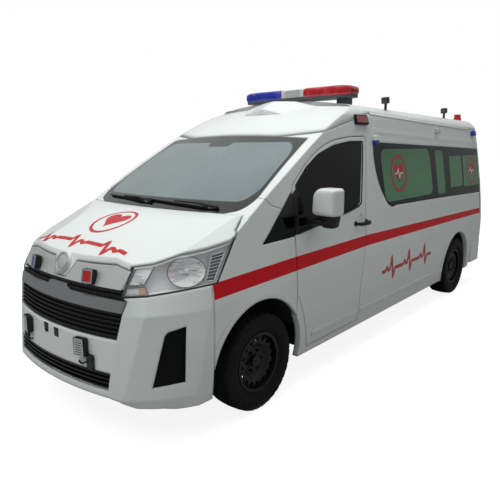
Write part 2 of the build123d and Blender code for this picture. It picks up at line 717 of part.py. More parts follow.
mirror_foot = fillet(mirror_foot.edges().group_by(Axis.Z)[0], MIRROR_FOOT_FILLET)
mirror_part = mirror_head + (mirror_foot - outer)
fittings = Compound(children=[*mirror_part.solids(), *handle.solids()])
keep("door_fittings_left", fittings)
keep("door_fittings_right", mirrored(fittings))

# ---- tail ---------------------------------------------------------------------------------
gate_blank = wall_shell & prism_y(TAILGATE_FRONT, BEHIND, tailgate_region(SHUT_GAP))
gate_part = gate_blank - prism_y(TAILGATE_FRONT, BEHIND, tailgate_window)
PLATE_POCKET_DEPTH = 14.0
gate_part -= block(-275, 275, TAIL_BODY_STATION - 18 - PLATE_POCKET_DEPTH, BEHIND, 930, 1068)
garnish = fillet(block(-380, 380, 4840, 4884, 1084, 1142).edges(), 12)
keep("tailgate", gate_part + garnish)
keep("tailgate_glass", glass_shell & prism_y(TAILGATE_FRONT, BEHIND, tailgate_window))
tail_lamp = (wall_shell & tail_lamp_space) - prism_y(TAILGATE_FRONT, BEHIND, tailgate_region(0))
keep("tail_lamps", both_sides(tail_lamp))

rear_bumper_face = outline(
    (-958, REAR_BUMPER_FRONT + SEAM), (-958, 4760), ((-925, 4850), (-830, 4878)),
    ((0, TAIL_STATION), (830, 4878)), ((925, 4850), (958, 4760)), (958, REAR_BUMPER_FRONT + SEAM),
)
rear_bumper_core = outline(
    (-908, 4400), (-908, 4740), ((-886, 4802), (-800, 4824)),
    ((0, 4852), (800, 4824)), ((886, 4802), (908, 4740)), (908, 4400),
)
rear_bumper = prism_z(305, REAR_BUMPER_TOP - SEAM, rear_bumper_face)
rear_bumper -= prism_z(300, REAR_BUMPER_TOP + 10, rear_bumper_core)
rear_bumper -= rear_arch(0)
rear_bumper -= mirrored(rear_arch(0))
keep("rear_bumper", rear_bumper)

# ---- floor and frame ----------------------------------------------------------------------
FLOOR_FRONT = 470.0
FLOOR_REAR = 4790.0
ARCH_HOUSING = 14.0
floor_slab = block(-FAR, FAR, FLOOR_FRONT, FLOOR_REAR, FLOOR_HEIGHT - FLOOR_THICKNESS, FLOOR_HEIGHT)
floor_part = floor_slab & wall_core
for arch in (rear_arch, front_arch):
    for flip in (False, True):
        space = arch(RUNNING_CLEARANCE)
        shell = arch(RUNNING_CLEARANCE + ARCH_HOUSING) & wall_core
        shell &= block(0, FAR, -600, BEHIND, FLOOR_HEIGHT - FLOOR_THICKNESS, 2000)
        inner_face = 600 if arch is rear_arch else 480
        shell += (Pos(-ARCH_HOUSING, 0, 0) * arch(RUNNING_CLEARANCE + ARCH_HOUSING)) & block(
            inner_face - ARCH_HOUSING, inner_face, -600, BEHIND, FLOOR_HEIGHT - FLOOR_THICKNESS, 2000)
        if flip:
            space = mirrored(space)
            shell = mirrored(shell)
        floor_part = floor_part + shell - space
keep("floor_pan", floor_part)

RAIL_X = 430.0
RAIL_WIDTH = 80.0
RAIL_BOTTOM = 425.0
RAIL_TOP = FLOOR_HEIGHT - FLOOR_THICKNESS
RAIL_FRONT = -810.0
CROSS_MEMBER_STATIONS = (1400.0, 2400.0, 3300.0, 4500.0)
CROSS_MEMBER_WIDTH = 70.0
rail_outside = RAIL_X + RAIL_WIDTH / 2
rail_inside = RAIL_X - RAIL_WIDTH / 2
rails = block(-rail_outside, rail_outside, RAIL_FRONT, FLOOR_REAR, RAIL_BOTTOM, RAIL_TOP)
rails -= block(-rail_inside, rail_inside, RAIL_FRONT - 1, FLOOR_REAR + 1, 0, 1000)
for station in CROSS_MEMBER_STATIONS:
    rails += block(-RAIL_X, RAIL_X, station, station + CROSS_MEMBER_WIDTH, RAIL_BOTTOM + 15, RAIL_TOP)
keep("frame_rails", rails)

TOW_EYE_RADIUS = 22.0
TOW_EYE_THICKNESS = 18.0
TOW_EYE_LOW = 346.0             # underside of the plate with the eye in it
TOW_EYE_HALF_WIDTH = 48.0
TOW_EYE_CHEEK = 12.0
TOW_EYE_STATIONS = (-765.0, 4735.0)
eyes = []
for station in TOW_EYE_STATIONS:
    for side in (-1, 1):
        x = side * RAIL_X
        eye = block(x - TOW_EYE_HALF_WIDTH, x + TOW_EYE_HALF_WIDTH, station - 42, station + 42,
                    TOW_EYE_LOW, RAIL_BOTTOM)
        eye -= block(x - TOW_EYE_HALF_WIDTH + TOW_EYE_CHEEK, x + TOW_EYE_HALF_WIDTH - TOW_EYE_CHEEK,
                     station - 50, station + 50, TOW_EYE_LOW + TOW_EYE_THICKNESS, RAIL_BOTTOM + 1)
        eye -= rod_z(x, station, TOW_EYE_LOW - 1, TOW_EYE_LOW + TOW_EYE_THICKNESS + 1, TOW_EYE_RADIUS)
        eyes.extend(eye.solids())
keep("tow_eyes", Compound(children=eyes))

FIREWALL_STATION = 395.0
GEARBOX_RADIUS = 62.0
firewall = block(-FAR, FAR, FIREWALL_STATION, FIREWALL_STATION + 30, RAIL_BOTTOM, 1290)
firewall = (firewall & wall_core) - floor_part - rails
firewall = firewall - front_arch(RUNNING_CLEARANCE) - mirrored(front_arch(RUNNING_CLEARANCE))
firewall -= rod_y(0, 300, 500, AXLE_HEIGHT + 30, GEARBOX_RADIUS + RUNNING_CLEARANCE)
keep("firewall", firewall)

# ---- running gear -------------------------------------------------------------------------
def wheel_at(part, x, station):
    """Places a wheel piece drawn round the origin, facing +X, at its axle end."""
    placed = part
    if x < 0:
        placed = mirror(part, about=Plane.YZ)
    return Pos(x, station, AXLE_HEIGHT) * placed


TYRE_HALF_WIDTH = TYRE_WIDTH / 2
BEAD_HALF_WIDTH = 86.0
FLANGE_HEIGHT = 14.0
tyre_face = outline(
    (-BEAD_HALF_WIDTH, RIM_RADIUS),
    (-BEAD_HALF_WIDTH, RIM_RADIUS + FLANGE_HEIGHT + 2),
    ((-TYRE_HALF_WIDTH + 4, RIM_RADIUS + 42), (-TYRE_HALF_WIDTH, RIM_RADIUS + 74)),
    ((-TYRE_HALF_WIDTH + 5, TYRE_RADIUS - 30), (-TYRE_HALF_WIDTH + 27, TYRE_RADIUS - 8)),
    ((0, TYRE_RADIUS), (TYRE_HALF_WIDTH - 27, TYRE_RADIUS - 8)),
    ((TYRE_HALF_WIDTH - 5, TYRE_RADIUS - 30), (TYRE_HALF_WIDTH, RIM_RADIUS + 74)),
    ((TYRE_HALF_WIDTH - 4, RIM_RADIUS + 42), (BEAD_HALF_WIDTH, RIM_RADIUS + FLANGE_HEIGHT + 2)),
    (BEAD_HALF_WIDTH, RIM_RADIUS),
)
tyre = revolve(tyre_face, axis=Axis.X)

RIM_WALL = 8.0
RIM_HALF_WIDTH = 95.0
barrel_face = outline(
    (-RIM_HALF_WIDTH, RIM_RADIUS - RIM_WALL),
    (-RIM_HALF_WIDTH, RIM_RADIUS + FLANGE_HEIGHT),
    (-BEAD_HALF_WIDTH - 2, RIM_RADIUS + FLANGE_HEIGHT),
    (-BEAD_HALF_WIDTH - 2, RIM_RADIUS),
    (BEAD_HALF_WIDTH + 2, RIM_RADIUS),
    (BEAD_HALF_WIDTH + 2, RIM_RADIUS + FLANGE_HEIGHT),
    (RIM_HALF_WIDTH, RIM_RADIUS + FLANGE_HEIGHT),
    (RIM_HALF_WIDTH, RIM_RADIUS - RIM_WALL),
)
disc_face = outline(
    (44, RIM_RADIUS - RIM_WALL), (60, RIM_RADIUS - RIM_WALL), ((72, 165), (66, 128)),
    (42, 100), (42, 0), (32, 0), (32, 96), ((58, 150), (44, RIM_RADIUS - RIM_WALL)),
)
VENT_RADIUS = 15.0
VENT_RING_RADIUS = 163.0
NUT_RING_RADIUS = 74.0
HUB_RADIUS = 58.0
HUB_DEPTH = 62.0
SPINDLE_RADIUS = 22.0
rim = revolve(barrel_face, axis=Axis.X) + revolve(disc_face, axis=Axis.X)
rim += rod_x(-HUB_DEPTH, 34, 0, 0, HUB_RADIUS)
rim -= rod_x(-HUB_DEPTH - 1, 10, 0, 0, SPINDLE_RADIUS + 5)
rim += rod_x(40, 66, 0, 0, 44)
HOLE_COUNT = 16
NUT_COUNT = 6
for k in range(HOLE_COUNT):
    angle = radians(k * 360 / HOLE_COUNT)
    rim -= rod_x(30, 90, VENT_RING_RADIUS * cos(angle), VENT_RING_RADIUS * sin(angle), VENT_RADIUS)
for k in range(NUT_COUNT):
    angle = radians(k * 360 / NUT_COUNT)
    rim += rod_x(40, 60, NUT_RING_RADIUS * cos(angle), NUT_RING_RADIUS * sin(angle), 11)

AXLE_ENDS = {
    "front_left": (TRACK_FRONT / 2, FRONT_AXLE_STATION),
    "front_right": (-TRACK_FRONT / 2, FRONT_AXLE_STATION),
    "rear_left": (TRACK_REAR / 2, REAR_AXLE_STATION),
    "rear_right": (-TRACK_REAR / 2, REAR_AXLE_STATION),
}
for end, (x, station) in AXLE_ENDS.items():
    keep(f"tyre_{end}", wheel_at(tyre, x, station))
    keep(f"rim_{end}", wheel_at(rim, x, station))

# The steering axis leans inward from the lower ball joint to the top of the strut.
BALL_JOINT = Vector(745, 0, 205)
STRUT_TOP = Vector(615, 0, 805)
STRUT_RADIUS = 27.0
HUB_FACE = TRACK_FRONT / 2 - HUB_DEPTH - 8
steer_line = STRUT_TOP - BALL_JOINT
steer_dir = steer_line.normalized()


def leaning_rod(from_height, to_height, radius):
    """A round bar along the steering axis between two heights."""
    start = BALL_JOINT + steer_line * ((from_height - BALL_JOINT.Z) / steer_line.Z)
    end = BALL_JOINT + steer_line * ((to_height - BALL_JOINT.Z) / steer_line.Z)
    middle = (start + end) / 2
    return Plane(origin=middle, z_dir=steer_dir) * Cylinder(radius, (end - start).length)


knuckle = rod_x(HUB_FACE - 62, HUB_FACE, 0, AXLE_HEIGHT, 62)
knuckle += rod_x(HUB_FACE - 10, HUB_FACE + 55, 0, AXLE_HEIGHT, SPINDLE_RADIUS)
knuckle += leaning_rod(222, 480, 24)
knuckle += leaning_rod(440, 780, STRUT_RADIUS)
knuckle += leaning_rod(640, 770, 52)
knuckle += block(HUB_FACE - 62, HUB_FACE - 30, 0, 150, AXLE_HEIGHT - 22, AXLE_HEIGHT + 10)
knuckle = Pos(0, FRONT_AXLE_STATION, 0) * knuckle
keep("knuckle_left", knuckle)
keep("knuckle_right", mirrored(knuckle))

arm = prism_z(192, 216, outline((400, -150), (470, -165), (735, -28), (765, 0),
                                (735, 28), (470, 165), (400, 150)))
cross_member = block(-RAIL_X - 40, RAIL_X + 40, -170, 170, 192, 262)
cross_member += block(-RAIL_X - 40, -RAIL_X + 40, -110, 110, 262, RAIL_BOTTOM)
cross_member += block(RAIL_X - 40, RAIL_X + 40, -110, 110, 262, RAIL_BOTTOM)
keep("front_suspension", Pos(0, FRONT_AXLE_STATION, 0) * (cross_member + arm + mirrored(arm)))

SPRING_X = 560.0
GEARBOX_END_STATION = 1005.0
REAR_HUB_FACE = TRACK_REAR / 2 - HUB_DEPTH - 8
axle_part = rod_x(-REAR_HUB_FACE, REAR_HUB_FACE, REAR_AXLE_STATION, AXLE_HEIGHT, 45)
axle_part += Pos(0, REAR_AXLE_STATION, AXLE_HEIGHT) * Sphere(125)
axle_part += rod_x(-REAR_HUB_FACE - 55, REAR_HUB_FACE + 55, REAR_AXLE_STATION, AXLE_HEIGHT, SPINDLE_RADIUS)
axle_part += rod_y(0, GEARBOX_END_STATION + 2, REAR_AXLE_STATION, AXLE_HEIGHT + 30, 38)
spring_face = outline(
    (REAR_AXLE_STATION - 620, 440), ((REAR_AXLE_STATION, 372), (REAR_AXLE_STATION + 620, 440)),
    (REAR_AXLE_STATION + 620, 408), ((REAR_AXLE_STATION, 296), (REAR_AXLE_STATION - 620, 408)),
)
for side in (-1, 1):
    x0 = side * SPRING_X - 35
    axle_part += prism_x(x0, x0 + 70, spring_face)
    for station in (REAR_AXLE_STATION - 620, REAR_AXLE_STATION + 590):
        axle_part += block(x0, x0 + 70, station, station + 30, 408, FLOOR_HEIGHT - FLOOR_THICKNESS)
keep("rear_axle", axle_part)

ENGINE_HALF_WIDTH = 270.0
ENGINE_FRONT = -430.0
ENGINE_REAR = 330.0
ENGINE_LOW = 300.0
ENGINE_HIGH = 1010.0
engine = block(-ENGINE_HALF_WIDTH, ENGINE_HALF_WIDTH, ENGINE_FRONT, ENGINE_REAR, ENGINE_LOW, ENGINE_HIGH)
engine = fillet(engine.edges().filter_by(Axis.Z), 40)
engine += rod_y(0, ENGINE_REAR, GEARBOX_END_STATION, AXLE_HEIGHT + 30, GEARBOX_RADIUS)
engine -= block(-500, 500, FRONT_AXLE_STATION - 180, FRONT_AXLE_STATION + 180, 180, 312)
keep("engine", engine)
RADIATOR_STATION = -760.0
radiator = block(-380, 380, RADIATOR_STATION, RADIATOR_STATION + 45, 345, 930)
radiator += block(-600, 600, RADIATOR_STATION, RADIATOR_STATION + 50, 880, 950)
for side in (-1, 1):
    radiator += block(side * RAIL_X - 30, side * RAIL_X + 30, RADIATOR_STATION, RADIATOR_STATION + 50,
                      FLOOR_HEIGHT - FLOOR_THICKNESS, 900)
keep("radiator", radiator)

tank = fillet(block(-820, -500, 2050, 2950, 250, 500).edges(), 40)
pipe = rod_y(250, 900, 3200, 300, 30) + rod_y(250, 1700, 2450, 300, 85)
keep("fuel_tank_and_exhaust", Compound(children=[*tank.solids(), *pipe.solids()]))

# ---- cab and load space -------------------------------------------------------------------
dash_face = outline((FIREWALL_STATION + 30, 900), (FIREWALL_STATION + 30, 1240), (470, 1262),
                    ((640, 1250), (700, 1160)), (690, 1010), (600, 900))
dash = prism_x(-FAR, FAR, dash_face) & wall_core
dash = dash & block(-840, 840, 0, 1000, 800, 1400)
keep("dashboard", dash)

WHEEL_CENTRE = Vector(420, 850, 1165)
COLUMN_RAKE = 48.0              # degrees of the steering wheel's axis from upright
steer_plane = Plane(origin=WHEEL_CENTRE, x_dir=(1, 0, 0),
                    z_dir=(0, sin(radians(COLUMN_RAKE)), cos(radians(COLUMN_RAKE))))
rim_ring = steer_plane * Torus(185, 15)
spokes = steer_plane * (Pos(0, 0, -14) * Box(350, 42, 16) + Pos(0, -90, -14) * Box(44, 180, 16))
hub = steer_plane * Pos(0, 0, -34) * Cylinder(58, 56)
column = steer_plane * Pos(0, 0, -105) * Cylinder(22, 130)
keep("steering_wheel", rim_ring + spokes + hub + column)

SEAT_X = 430.0
SEAT_LEAN = -14.0
SEAT_FILLET = 28.0
CUSHION_SIZE = (500.0, 480.0, 140.0)
BACK_REST_SIZE = (480.0, 120.0, 620.0)
HEAD_REST_SIZE = (260.0, 90.0, 170.0)
HEAD_REST_FILLET = 30.0
SEAT_BASE_HALF_WIDTH = 210.0
lean = Rot(SEAT_LEAN, 0, 0)
cushion = fillet(Box(*CUSHION_SIZE).edges(), SEAT_FILLET)
back_rest = fillet(Box(*BACK_REST_SIZE).edges(), SEAT_FILLET)
seat = Pos(SEAT_X, 1110, 850) * cushion + Pos(SEAT_X, 1400, 1150) * lean * back_rest
head_rest = fillet((Pos(SEAT_X, 1500, 1520) * lean * Box(*HEAD_REST_SIZE)).edges(), HEAD_REST_FILLET)
stalks = Pos(SEAT_X, 1485, 1440) * lean * Box(120, 16, 80)
seat_base = block(SEAT_X - SEAT_BASE_HALF_WIDTH, SEAT_X + SEAT_BASE_HALF_WIDTH, 930, 1350, FLOOR_HEIGHT, 785)
keep("front_seats", both_sides(seat + head_rest + stalks + seat_base))

BULKHEAD_STATION = 1690.0
bulkhead = (block(-FAR, FAR, BULKHEAD_STATION, BULKHEAD_STATION + 30, FLOOR_HEIGHT, 2350) & wall_core)
bulkhead -= fillet(block(-520, 520, 1600, 1800, 1300, 1760).edges().filter_by(Axis.Y), 40)
keep("bulkhead", bulkhead)

bench = block(400, 880, 2100, 4100, FLOOR_HEIGHT, 930) & wall_core
bench -= rear_arch(RUNNING_CLEARANCE + ARCH_HOUSING + 2)
bench -= block(560, 900, REAR_AXLE_STATION - 480, 5000, 0, 860)
keep("side_bench", bench)

# ---- roof and side equipment --------------------------------------------------------------
BAR_STATION = 1797.0
BAR_HALF_LENGTH = 645.0
BAR_DEPTH = 250.0
BAR_LOW = 2296.0
BAR_HIGH = 2411.0
CENTRE_HALF = 112.0
BAR_BASE_HEIGHT = 30.0
BAR_TAPER = 115.0               # the ends narrow over this length
BAR_END_HALF_DEPTH = 62.0


def bar_plan(inset):
    """The light bar seen from above, as (x, station), moved inward by an inset."""
    half = BAR_HALF_LENGTH - inset
    deep = BAR_DEPTH / 2 - inset
    shoulder = half - BAR_TAPER
    front = BAR_STATION - deep
    back = BAR_STATION + deep
    tip_front = BAR_STATION - BAR_END_HALF_DEPTH
    tip_back = BAR_STATION + BAR_END_HALF_DEPTH
    return outline((-half, tip_front), (-shoulder, front), (shoulder, front), (half, tip_front),
                   (half, tip_back), (shoulder, back), (-shoulder, back), (-half, tip_back))


bar_blank = prism_z(BAR_LOW + BAR_BASE_HEIGHT, BAR_HIGH, bar_plan(0))
bar_blank = fillet(bar_blank.edges().filter_by(Axis.Z), 30)
BAR_FRONT = BAR_STATION - BAR_DEPTH / 2
BAR_BACK = BAR_STATION + BAR_DEPTH / 2
bar_section = outline(
    (BAR_FRONT - 1, BAR_LOW), (BAR_FRONT - 1, BAR_HIGH - 34), (BAR_FRONT + 20, BAR_HIGH),
    (BAR_BACK - 20, BAR_HIGH), (BAR_BACK + 1, BAR_HIGH - 34), (BAR_BACK + 1, BAR_LOW),
)
bar_blank &= prism_x(-FAR, FAR, bar_section)
lens_red = bar_blank & block(CENTRE_HALF + 1, FAR, 1000, 2600, 2000, ABOVE)
lens_blue = bar_blank & block(-FAR, -CENTRE_HALF - 1, 1000, 2600, 2000, ABOVE)
lens_clear = bar_blank & block(-CENTRE_HALF, CENTRE_HALF, 1000, 2600, 2000, ABOVE)
keep("light_bar_lenses", Compound(children=[*lens_red.solids(), *lens_blue.solids(), *lens_clear.solids()]))
bar_base = prism_z(BAR_LOW, BAR_LOW + BAR_BASE_HEIGHT, bar_plan(10))
bar_base = fillet(bar_base.edges().filter_by(Axis.Z), 28)
for side in (-1, 1):
    bar_base += block(side * 500 - 50, side * 500 + 50, BAR_STATION - 20, BAR_STATION + 100, 2200, BAR_LOW)
keep("light_bar_base", bar_base - outer)

ROOF_FOOT_LOW = 2150.0                # the feet of roof equipment start below the roof's skin
WORK_LAMPS = ((725.0, 2240.0, 2290.0), (705.0, 3850.0, 2270.0))   # x, station and height of the heads
WORK_LAMP_SIZE = (70.0, 52.0, 62.0)
WORK_LAMP_TILT = 12.0
WORK_LAMP_FOOT_RADIUS = 13.0
BEACON_PLACE = (600.0, 4620.0)
BEACON_STEP = 2216.0
BEACON_TOP = 2262.0
BEACON_BASE_RADIUS = 50.0
BEACON_RADIUS = 42.0
# Marker lamps on the left side, as (centre, lean, size, fillet).
MARKER_LAMPS = (
    ((828.0, 1560.0, 2078.0), -17.0, (44.0, 118.0, 78.0), 10.0),
    ((866.0, 1775.0, 1905.0), -14.0, (56.0, 74.0, 82.0), 12.0),
    ((842.0, 3304.0, 2017.0), -14.0, (60.0, 66.0, 60.0), 12.0),
    ((842.0, 4555.0, 2008.0), -14.0, (56.0, 88.0, 66.0), 12.0),
)
SMALLEST_LAMP = 2e4                   # offcuts below this volume are dropped
lamp_list = []
for x, station, height in WORK_LAMPS:
    foot = rod_z(x, station, ROOF_FOOT_LOW, height - 28, WORK_LAMP_FOOT_RADIUS)
    head = Pos(x, station - 8, height) * Rot(WORK_LAMP_TILT, 0, 0) * Box(*WORK_LAMP_SIZE)
    lamp_list.append(foot + fillet(head.edges(), 10))
beacon = rod_z(*BEACON_PLACE, ROOF_FOOT_LOW, BEACON_STEP, BEACON_BASE_RADIUS)
beacon += rod_z(*BEACON_PLACE, BEACON_STEP, BEACON_TOP, BEACON_RADIUS)
lamp_list.append(beacon)
for centre, lean_angle, size, radius in MARKER_LAMPS:
    marker = Pos(*centre) * Rot(0, lean_angle, 0) * Box(*size)
    lamp_list.append(fillet(marker.edges(), radius))
lamps = []
for piece in lamp_list:
    lamps.extend((piece - outer).solids())
keep("roof_lamps", both_sides(Compound(children=[x for x in lamps if x.volume > SMALLEST_LAMP])))

ORIGIN = Pos(0, -CENTRE_STATION, 0)
for name, part in NODES.items():
    solids = [ORIGIN * solid for solid in part.solids()]
    placed = solids[0] if len(solids) == 1 else Compound(solids)
    export_step(placed, f"parts/{name}.step")
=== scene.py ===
import math
from functools import partialmethod
from itertools import product

import bpy
import numpy as np
from mathutils import Matrix, Vector
from mathutils.bvhtree import BVHTree


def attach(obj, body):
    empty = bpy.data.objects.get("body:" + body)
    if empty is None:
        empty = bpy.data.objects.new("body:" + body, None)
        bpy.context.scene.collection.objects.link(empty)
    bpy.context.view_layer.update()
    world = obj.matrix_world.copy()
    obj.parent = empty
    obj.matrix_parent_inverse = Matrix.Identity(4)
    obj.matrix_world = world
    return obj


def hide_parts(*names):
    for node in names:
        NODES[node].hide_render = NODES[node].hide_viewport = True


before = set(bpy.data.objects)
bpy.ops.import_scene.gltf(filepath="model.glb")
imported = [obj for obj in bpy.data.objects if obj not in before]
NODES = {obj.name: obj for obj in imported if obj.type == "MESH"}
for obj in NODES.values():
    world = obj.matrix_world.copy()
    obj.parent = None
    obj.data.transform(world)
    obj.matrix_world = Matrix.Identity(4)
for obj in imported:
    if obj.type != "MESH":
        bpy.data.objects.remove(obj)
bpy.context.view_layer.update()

# Stations are metres rearward of the drawing datum; the frame's y is a station plus DATUM.
DATUM = -1.9525
FRONT_AXLE = 0.045
REAR_AXLE = 3.905
AXLE_HEIGHT = 0.356
WHEELS = {
    "front_left": (0.8375, FRONT_AXLE),
    "front_right": (-0.8375, FRONT_AXLE),
    "rear_left": (0.835, REAR_AXLE),
    "rear_right": (-0.835, REAR_AXLE),
}
SIDES = ((1, "left"), (-1, "right"))
# how bright the floor looks to the camera, and how much of the white background gloss and glass show
GROUND_GLOW = 0.88
MIRRORED_SKY = 0.15


def linear(r, g, b):
    """A linear colour from 0-255 values as they look on a screen."""
    values = []
    for c in (r, g, b):
        c /= 255
        values.append(c / 12.92 if c <= 0.04045 else ((c + 0.055) / 1.055) ** 2.4)
    return (*values, 1.0)


def point(x, station, z):
    """A point in the frame, from a station."""
    return Vector((x, station + DATUM, z))


def shaded(color, share, lift=0.0):
    """The linear colour of 0-255 values, made darker or lighter."""
    return (*(min(1.0, c * share + lift) for c in linear(*color)[:3]), 1.0)


WHITE = (228, 232, 230)


# ---- shaders ----
class Num:
    """A value in a node tree. Arithmetic on it adds math nodes."""

    def __init__(self, tree, out):
        self.tree = tree
        self.out = out

    def op(self, kind, *others):
        node = self.tree.nodes.new("ShaderNodeMath")
        node.operation = kind
        for socket, value in zip(node.inputs, (self, *others)):
            if isinstance(value, Num):
                self.tree.links.new(value.out, socket)
            else:
                socket.default_value = value
        return Num(self.tree, node.outputs[0])

    __add__ = partialmethod(op, "ADD")
    __sub__ = partialmethod(op, "SUBTRACT")
    __mul__ = partialmethod(op, "MULTIPLY")
    __truediv__ = partialmethod(op, "DIVIDE")
    abs = partialmethod(op, "ABSOLUTE")
    max = partialmethod(op, "MAXIMUM")
    min = partialmethod(op, "MINIMUM")

    def above(self, limit, soft=0.0015):
        """1 where the value is above a limit and 0 below it."""
        return ((self - limit) / soft + 0.5).max(0.0).min(1.0)

    def below(self, limit, soft=0.0015):
        return self.above(limit, soft) * -1.0 + 1.0

    def ribs(self, scale):
        """A 0-1 wave."""
        return (self * scale).op("SINE") * 0.5 + 0.5


class Shader:
    """A material with one Principled shader. A colour is three 0-255 values or four linear ones."""

    def __init__(self, name, color, rough=0.5, **inputs):
        self.material = bpy.data.materials.new(name)
        self.material.use_nodes = True
        self.tree = self.material.node_tree
        self.link = self.tree.links.new
        self.bsdf = self.tree.nodes["Principled BSDF"]
        self.bsdf.inputs["Roughness"].default_value = rough
        for key, value in inputs.items():
            self.bsdf.inputs[key.replace("_", " ")].default_value = value
        coords = self.node("TexCoord")
        self.place = coords.outputs["Object"]
        self.x, self.y, self.z = self.split(self.place)
        self.station = self.y - DATUM
        self.normal_x = self.split(coords.outputs["Normal"])[0]
        self.color = self.rgb(color)

    def node(self, kind, **values):
        """A new node, with values on some of its sockets."""
        made = self.tree.nodes.new("ShaderNode" + kind)
        for name, value in values.items():
            made.inputs[name].default_value = value
        return made

    def split(self, vector):
        parts = self.node("SeparateXYZ")
        self.link(vector, parts.inputs[0])
        return [Num(self.tree, out) for out in parts.outputs]

    def rgb(self, color):
        node = self.node("RGB")
        node.outputs[0].default_value = color if len(color) == 4 else linear(*color)
        return node.outputs[0]

    def noise(self, scale, detail=3.0, stretch=None):
        node = self.node("TexNoise", Scale=scale, Detail=detail)
        source = self.place
        if stretch:
            mapping = self.node("Mapping", Scale=stretch)
            self.link(source, mapping.inputs["Vector"])
            source = mapping.outputs[0]
        self.link(source, node.inputs["Vector"])
        return Num(self.tree, node.outputs["Fac"])

    def mix(self, mask, color):
        """Lays a colour over what is there, where the mask is 1."""
        node = self.node("Mix")
        node.data_type = "RGBA"
        self.link(mask.out, node.inputs["Factor"])
        self.link(self.color, node.inputs["A"])
        self.link(self.rgb(color), node.inputs["B"])
        self.color = node.outputs["Result"]

    def drive(self, socket, low, high, source):
        """Spreads a 0-1 value over a range on one of the shader's sockets."""
        self.link((source * (high - low) + low).out, self.bsdf.inputs[socket])

    def bump(self, source, strength, depth):
        node = self.node("Bump", Strength=strength, Distance=depth)
        self.link(source.out, node.inputs["Height"])
        previous = self.bsdf.inputs["Normal"].links
        if previous:
            self.link(previous[0].from_socket, node.inputs["Normal"])
        self.link(node.outputs[0], self.bsdf.inputs["Normal"])

    def soften(self, radius):
        """Rounds the look of edges, under whatever bump there is."""
        node = self.node("Bevel", Radius=radius)
        node.samples = 6
        first = self.bsdf.inputs["Normal"]
        while first.links and first.links[0].from_node.bl_idname == "ShaderNodeBump":
            first = first.links[0].from_node.inputs["Normal"]
        self.link(node.outputs[0], first)

    def done(self):
        self.link(self.color, self.bsdf.inputs["Base Color"])
        return self.material


def mixed(tree, share, first, second):
    """A mix of two shaders."""
    node = tree.nodes.new("ShaderNodeMixShader")
    for source, socket in zip((share.out, first, second), node.inputs):
        tree.links.new(source, socket)
    return node.outputs[0]


def rounded(x, y, centre, half, radius):
    """1 inside a rounded rectangle in two shader values."""
    dx = ((x - centre[0]).abs() - (half[0] - radius)).max(0.0)
    dy = ((y - centre[1]).abs() - (half[1] - radius)).max(0.0)
    return (dx * dx + dy * dy).op("SQRT").below(radius, 0.002)


def paint_material(name, stripe, lined=False, soft=0.022):
    s = Shader(name, (226, 231, 229), 0.34, Coat_Weight=0.35, Coat_Roughness=0.05,
               Specular_IOR_Level=0.25)
    s.mix(s.noise(2.2, 4.0).above(0.55, 0.5) * 0.16, (205, 211, 208))
    # the paint is made darker and browner towards the bottom, broken up by noise
    darker_low_tone = (s.z * -2.2 + 1.5).max(0.0).min(1.0) * s.noise(9.0, 6.0)
    s.mix(darker_low_tone * 0.30, (186, 184, 172))
    s.drive("Roughness", 0.24, 0.42, s.noise(14.0, 5.0))
    s.bump(s.noise(420.0, 2.0), 0.05, 0.0006)
    if lined:
        side = s.x.op("SIGN")
        inward = (side * s.normal_x).below(-0.35, 0.1)
        ends = s.station.below(1.68, 0.004)
        s.mix(inward, (188, 190, 188))
        s.mix(inward * ends, (88, 90, 94))
        s.mix(inward * ends * rounded(s.station, s.z, (1.0, 0.98), (0.44, 0.17), 0.06), (54, 57, 62))
        s.mix(inward * s.z.below(1.0, 0.004) * s.station.above(1.68), (168, 172, 172))
    if stripe:
        y = s.station
        middle = (y + 0.405) * 0.0389 + 0.9725
        middle = middle - (y - 0.43).max(0.0) * 0.0199 - (y - 1.56).max(0.0) * 0.0306
        half = (y - 0.43).max(0.0) * -0.0045 + 0.0525
        inside = ((s.z - middle).abs() - half).below(0.0, 0.0012)
        ends = y.above(-0.405, 0.001) * y.below(4.74, 0.001) * s.x.abs().above(0.80)
        outward = (s.x.op("SIGN") * s.normal_x).above(-0.3, 0.05)
        band = inside * ends * outward
        s.mix(band, (214, 8, 24))
        s.drive("Coat Weight", 0.35, 0.0, band)
        frame_top = (s.z - (y - 0.504) * 0.75).below(1.562)
        s.mix(y.above(0.425) * y.below(0.508) * s.z.above(1.215) * frame_top * outward, (13, 14, 15))
        crease = (s.z - (y - 1.75) * -0.0325 - 1.985).abs() * -28.0 + 1.0
        crease = crease.max(0.0) * s.x.abs().above(0.8) * y.above(1.72, 0.1)
        s.bump(crease, 0.6, 0.004)
    s.soften(soft)
    return s.done()


def plain(name, color, rough, scale=60.0, depth=0.0004, mottle=0.25, **inputs):
    """A material with mottling, uneven gloss and a fine grain."""
    s = Shader(name, color, rough, **inputs)
    s.mix(s.noise(scale / 6, 5.0).above(0.5, 0.6) * mottle, shaded(color, 0.6))
    s.drive("Roughness", max(0.0, rough - 0.07), min(1.0, rough + 0.1), s.noise(scale / 3, 4.0))
    s.bump(s.noise(scale * 6, 3.0), 0.25, depth)
    return s.done()


def clear(name, tint, gloss, veil, veil_color, frit=None):
    """Thin glass: tinted transparency, a fresnel reflection and a partly opaque layer of one colour over it,
    with an opaque border.
    """
    s = Shader(name, veil_color, 0.08, Coat_Weight=1.0)
    see = s.node("BsdfTransparent", Color=linear(*tint))
    shine = s.node("BsdfGlossy", Roughness=0.02)
    fresnel = s.node("Fresnel", IOR=1.5)
    share = Num(s.tree, fresnel.outputs[0]) * gloss
    glass = mixed(s.tree, share.min(0.95), see.outputs[0], shine.outputs[0])
    cover = s.noise(3.0, 3.0) * (veil * 0.5) + veil * 0.75
    if frit:
        border = frit(s)
        s.mix(border, (14, 15, 16))
        cover = cover.max(border)
    final = mixed(s.tree, cover.min(1.0), glass, s.bsdf.outputs[0])
    s.link(final, s.tree.nodes["Material Output"].inputs["Surface"])
    return s.done()


